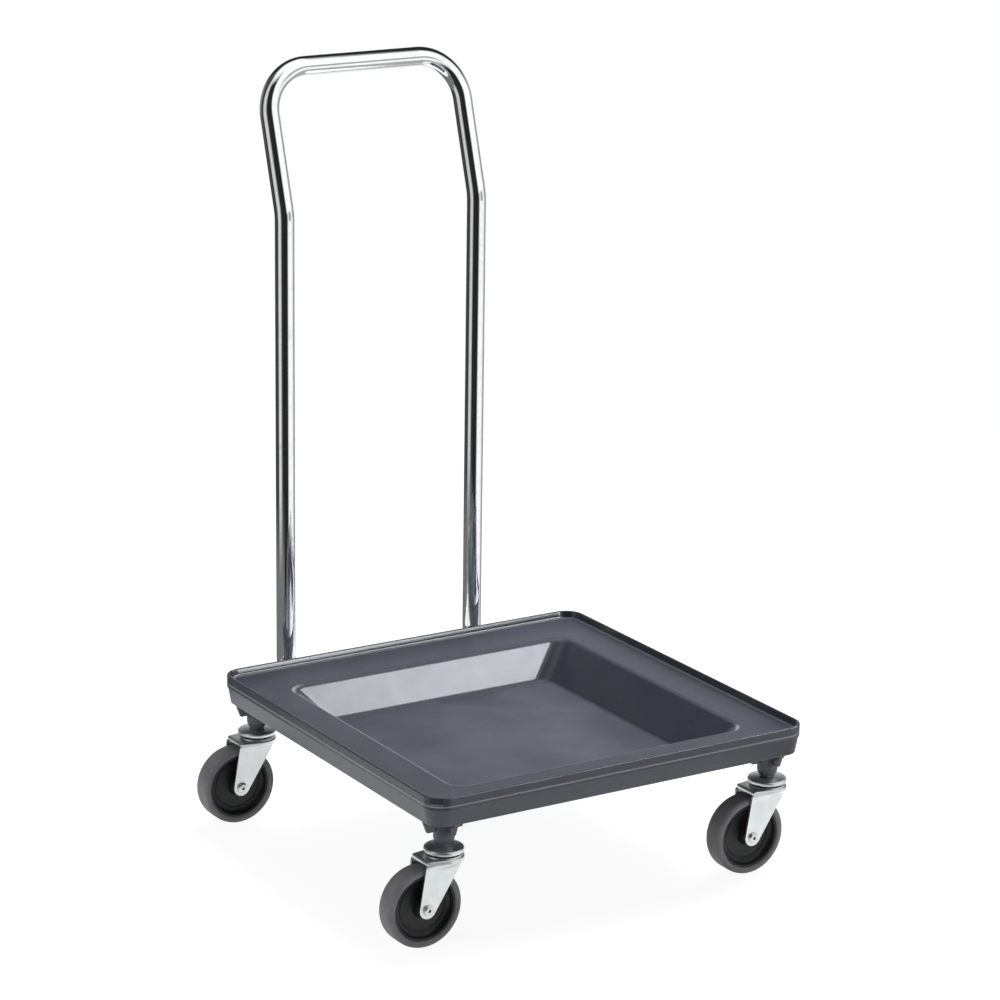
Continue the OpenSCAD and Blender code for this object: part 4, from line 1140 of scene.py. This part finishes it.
def placeLamps():
    aim = trayCentre + Vector((0, 0, basinZ))
    for name, lamp in lamps.items():
        width, height = lamp["size"]
        data = bpy.data.lights.new(name, "AREA")
        data.shape = "RECTANGLE"
        data.size, data.size_y = width, height
        data.energy = 4 * lamp["radiance"] * width * height
        light = bpy.data.objects.new(name, data)
        # the lamp that shines on one piece only makes its gleam, and the others only light
        light.visible_diffuse = "shinesOn" not in lamp
        light.visible_glossy = "shinesOn" in lamp
        light.location = aim + Vector(lamp["direction"]).normalized() * lamp["distance"]
        light.rotation_euler = (light.location - aim).to_track_quat("Z", "Y").to_euler()
        bpy.context.scene.collection.objects.link(light)
        if "shinesOn" in lamp:
            data.color = lamp["colour"]
            shining = bpy.data.collections.new(name + "ShinesOn")
            shining.objects.link(bpy.data.objects[lamp["shinesOn"]])
            light.light_linking.receiver_collection = shining


world = {"ambient": 0.10}


def seenDirectly(tree):
    # 1 for what the camera sees, straight or in a mirror or through glass
    path = addNode(tree, "ShaderNodeLightPath")
    seen = calculate(tree, "ADD", path.outputs["Is Camera Ray"], path.outputs["Is Glossy Ray"], clamp=True)
    return calculate(tree, "ADD", seen, path.outputs["Is Transmission Ray"], clamp=True)


def makeWorld():
    shown = bpy.data.worlds.new("studio")
    bpy.context.scene.world = shown
    shown.use_nodes = True
    tree = shown.node_tree
    background = tree.nodes["Background"]
    background.inputs["Color"].default_value = (1, 1, 1, 1)
    strength = rescale(tree, seenDirectly(tree), 0.0, 1.0, world["ambient"], 1.0)
    link(tree, strength, background.inputs["Strength"])


floor = {"size": 16.0, "nearRadius": 0.62, "glow": 0.91, "shade": 0.28, "bounce": 0.80, "fade": (0.9, 2.2)}


def makeFloorMaterial():
    # white where nothing falls on it: part glow, part lit paper, so that it keeps a soft shadow
    material = bpy.data.materials.new("studioFloor")
    material.use_nodes = True
    tree = material.node_tree
    tree.nodes.remove(tree.nodes["Principled BSDF"])
    result = tree.nodes["Material Output"]
    place = addNode(tree, "ShaderNodeTexCoord")
    distance = addNode(tree, "ShaderNodeVectorMath", operation="LENGTH")
    link(tree, place.outputs["Object"], distance.inputs[0])
    near = rescale(tree, distance.outputs["Value"], *floor["fade"], 1.0, 0.0)
    paper = addNode(tree, "ShaderNodeBsdfDiffuse")
    link(tree, rescale(tree, near, 0.0, 1.0, 0.0, floor["shade"]), paper.inputs["Color"])
    glow = addNode(tree, "ShaderNodeEmission", {"Color": (1, 1, 1, 1)})
    link(tree, rescale(tree, near, 0.0, 1.0, 1.0, floor["glow"]), glow.inputs["Strength"])
    shown = addNode(tree, "ShaderNodeAddShader")
    link(tree, paper.outputs[0], shown.inputs[0])
    link(tree, glow.outputs[0], shown.inputs[1])
    bounce = addNode(tree, "ShaderNodeBsdfDiffuse", {"Color": (floor["bounce"],) * 3 + (1,)})
    mix = addNode(tree, "ShaderNodeMixShader")
    link(tree, seenDirectly(tree), mix.inputs[0])
    link(tree, bounce.outputs[0], mix.inputs[1])
    link(tree, shown.outputs[0], mix.inputs[2])
    link(tree, mix.outputs[0], result.inputs["Surface"])
    return material


def stageObject(name, bm, material):
    mesh = bpy.data.meshes.new(name)
    bm.to_mesh(mesh)
    bm.free()
    mesh.materials.append(material)
    thing = bpy.data.objects.new(name, mesh)
    bpy.context.scene.collection.objects.link(thing)
    return thing


def makeFloor():
    material = makeFloorMaterial()
    bm = bmesh.new()
    bmesh.ops.create_circle(bm, cap_ends=True, segments=96, radius=floor["nearRadius"])
    stageObject("floorNear", bm, material)
    bm = bmesh.new()
    bmesh.ops.create_circle(bm, cap_ends=False, segments=96, radius=floor["nearRadius"])
    outer = carryStraight(bm, bm.edges[:], (0, 0, 0))
    verts = list({v for edge in outer for v in edge.verts})
    bmesh.ops.scale(bm, vec=(floor["size"] / floor["nearRadius"],) * 3, verts=verts)
    far = stageObject("floorFar", bm, material)
    far.visible_glossy = False


# What the bright metal sees around it, in degrees: sideways from the camera's own side, right
# positive, and up from the level of the tent's middle. A pair is where a change starts and ends.
tent = {
    "radius": 3.7, "centreZ": 0.4,
    "bands": ((-180, 0.06), (-96, 0.05), (-86, 0.02), (-74, 0.62), (-58, 0.76), (-48, 0.56),
              (-34, 0.022), (32, 0.018), (44, 0.80), (52, 1.05), (104, 1.0), (122, 0.38), (146, 0.30),
              (165, 0.08), (180, 0.05)),
    "top": (12, 17), "topLeft": (62, 76), "topSide": (25.2, 43.2), "topLevel": 1.1,
    "bottom": (-23.5, -27), "bottomLevel": 0.42,
    "lowLeft": (-15, -17.5), "lowLeftSide": (-10.8, -18), "lowLeftLevel": 0.17,
    "screen": ((-3, -1), (13, 18)), "screenSides": ((52, 57), (82, 88)), "screenLevel": 0.40,
    "behind": ((-2.866, 2.866), (60, 70)), "behindSides": (104, 126.8), "behindLevel": 0.34,
    "dark": (21, 27), "darkLevel": 0.02,
    "horizon": (13, 9), "horizonSides": (152, 163.2), "horizonLevel": 0.9,
}


def heightAt(*angles):
    return [tent["radius"] * math.sin(math.radians(angle)) for angle in angles]


def turnAt(*angles):
    return [angle / 360 + 0.5 for angle in angles]


def paintTent(tree, around, z):
    # around: 0 behind, 0.25 left, 0.5 on the camera's side, 0.75 right; z: height over the tent's middle
    ramp = addNode(tree, "ShaderNodeValToRGB")
    link(tree, around, ramp.inputs["Fac"])
    stops = ramp.color_ramp.elements
    while len(stops) > 1:
        stops.remove(stops[-1])
    for index, (angle, level) in enumerate(tent["bands"]):
        stop = stops[0] if index == 0 else stops.new(turnAt(angle)[0])
        stop.position = turnAt(angle)[0]
        stop.color = (level, level, level, 1)
    offset = calculate(tree, "ABSOLUTE", calculate(tree, "SUBTRACT", around, 0.5))
    # a bright ceiling, lower on the right, and the floor
    right = rescale(tree, around, *turnAt(*tent["topSide"]))
    overhead = calculate(tree, "MAXIMUM", rescale(tree, z, *heightAt(*tent["topLeft"])), right)
    top = times(tree, rescale(tree, z, *heightAt(*tent["top"])), overhead)
    bottom = rescale(tree, z, *heightAt(*tent["bottom"]))
    # the left side is dim near the floor
    lowLeft = rescale(tree, z, *heightAt(*tent["lowLeft"]))
    lowLeft = times(tree, lowLeft, rescale(tree, around, *turnAt(*tent["lowLeftSide"])))
    # a grey screen on the right gives the lower half of the bar its grey
    screen = between(tree, z, *(heightAt(*pair) for pair in tent["screen"]))
    screen = times(tree, screen, between(tree, around, *(turnAt(*pair) for pair in tent["screenSides"])))
    # the backdrop behind, with the dark room over it, which draws the dark line along the bar's top
    behind = between(tree, z, *(heightAt(*pair) for pair in tent["behind"]))
    behind = times(tree, behind, rescale(tree, offset, *(angle / 360 for angle in tent["behindSides"])))
    dark = times(tree, behind, rescale(tree, z, *heightAt(*tent["dark"])))
    # straight behind, it is bright up to a little over the horizon
    horizon = rescale(tree, z, *heightAt(*tent["horizon"]))
    horizon = times(tree, horizon, rescale(tree, offset, *(angle / 360 for angle in tent["horizonSides"])))
    colour = ramp.outputs["Color"]
    for name, mask in (("top", top), ("bottom", bottom), ("lowLeft", lowLeft), ("screen", screen),
                       ("behind", behind), ("dark", dark), ("horizon", horizon)):
        colour = mixColour(tree, mask, colour, (tent[name + "Level"],) * 3)
    return colour


def makeTent():
    material = bpy.data.materials.new("studioTent")
    material.use_nodes = True
    tree = material.node_tree
    tree.nodes.remove(tree.nodes["Principled BSDF"])
    place = addNode(tree, "ShaderNodeTexCoord")
    middle = addNode(tree, "ShaderNodeMapping", {"Location": (0, 0, -tent["centreZ"])})
    link(tree, place.outputs["Object"], middle.inputs["Vector"])
    turn = addNode(tree, "ShaderNodeMapping", {"Rotation": (0, 0, math.pi / 2 - camera["azimuth"])})
    link(tree, middle.outputs["Vector"], turn.inputs["Vector"])
    around = addNode(tree, "ShaderNodeTexGradient", gradient_type="RADIAL")
    link(tree, turn.outputs["Vector"], around.inputs["Vector"])
    height = addNode(tree, "ShaderNodeSeparateXYZ")
    link(tree, middle.outputs["Vector"], height.inputs[0])
    glow = addNode(tree, "ShaderNodeEmission")
    link(tree, paintTent(tree, around.outputs["Fac"], height.outputs["Z"]), glow.inputs["Color"])
    link(tree, glow.outputs[0], tree.nodes["Material Output"].inputs["Surface"])
    bm = bmesh.new()
    bmesh.ops.create_uvsphere(bm, u_segments=96, v_segments=48, radius=tent["radius"],
                              matrix=Matrix.Translation((0, 0, tent["centreZ"])))
    bmesh.ops.reverse_faces(bm, faces=bm.faces)
    sphere = stageObject("studioTent", bm, material)
    for ray in ("camera", "diffuse", "shadow", "transmission", "volume_scatter"):
        setattr(sphere, "visible_" + ray, False)


bpy.context.scene.view_settings.view_transform = "Standard"
placeCamera()
placeLamps()
makeWorld()
makeFloor()
makeTent()
print("studio set")

bpy.context.view_layer.update()
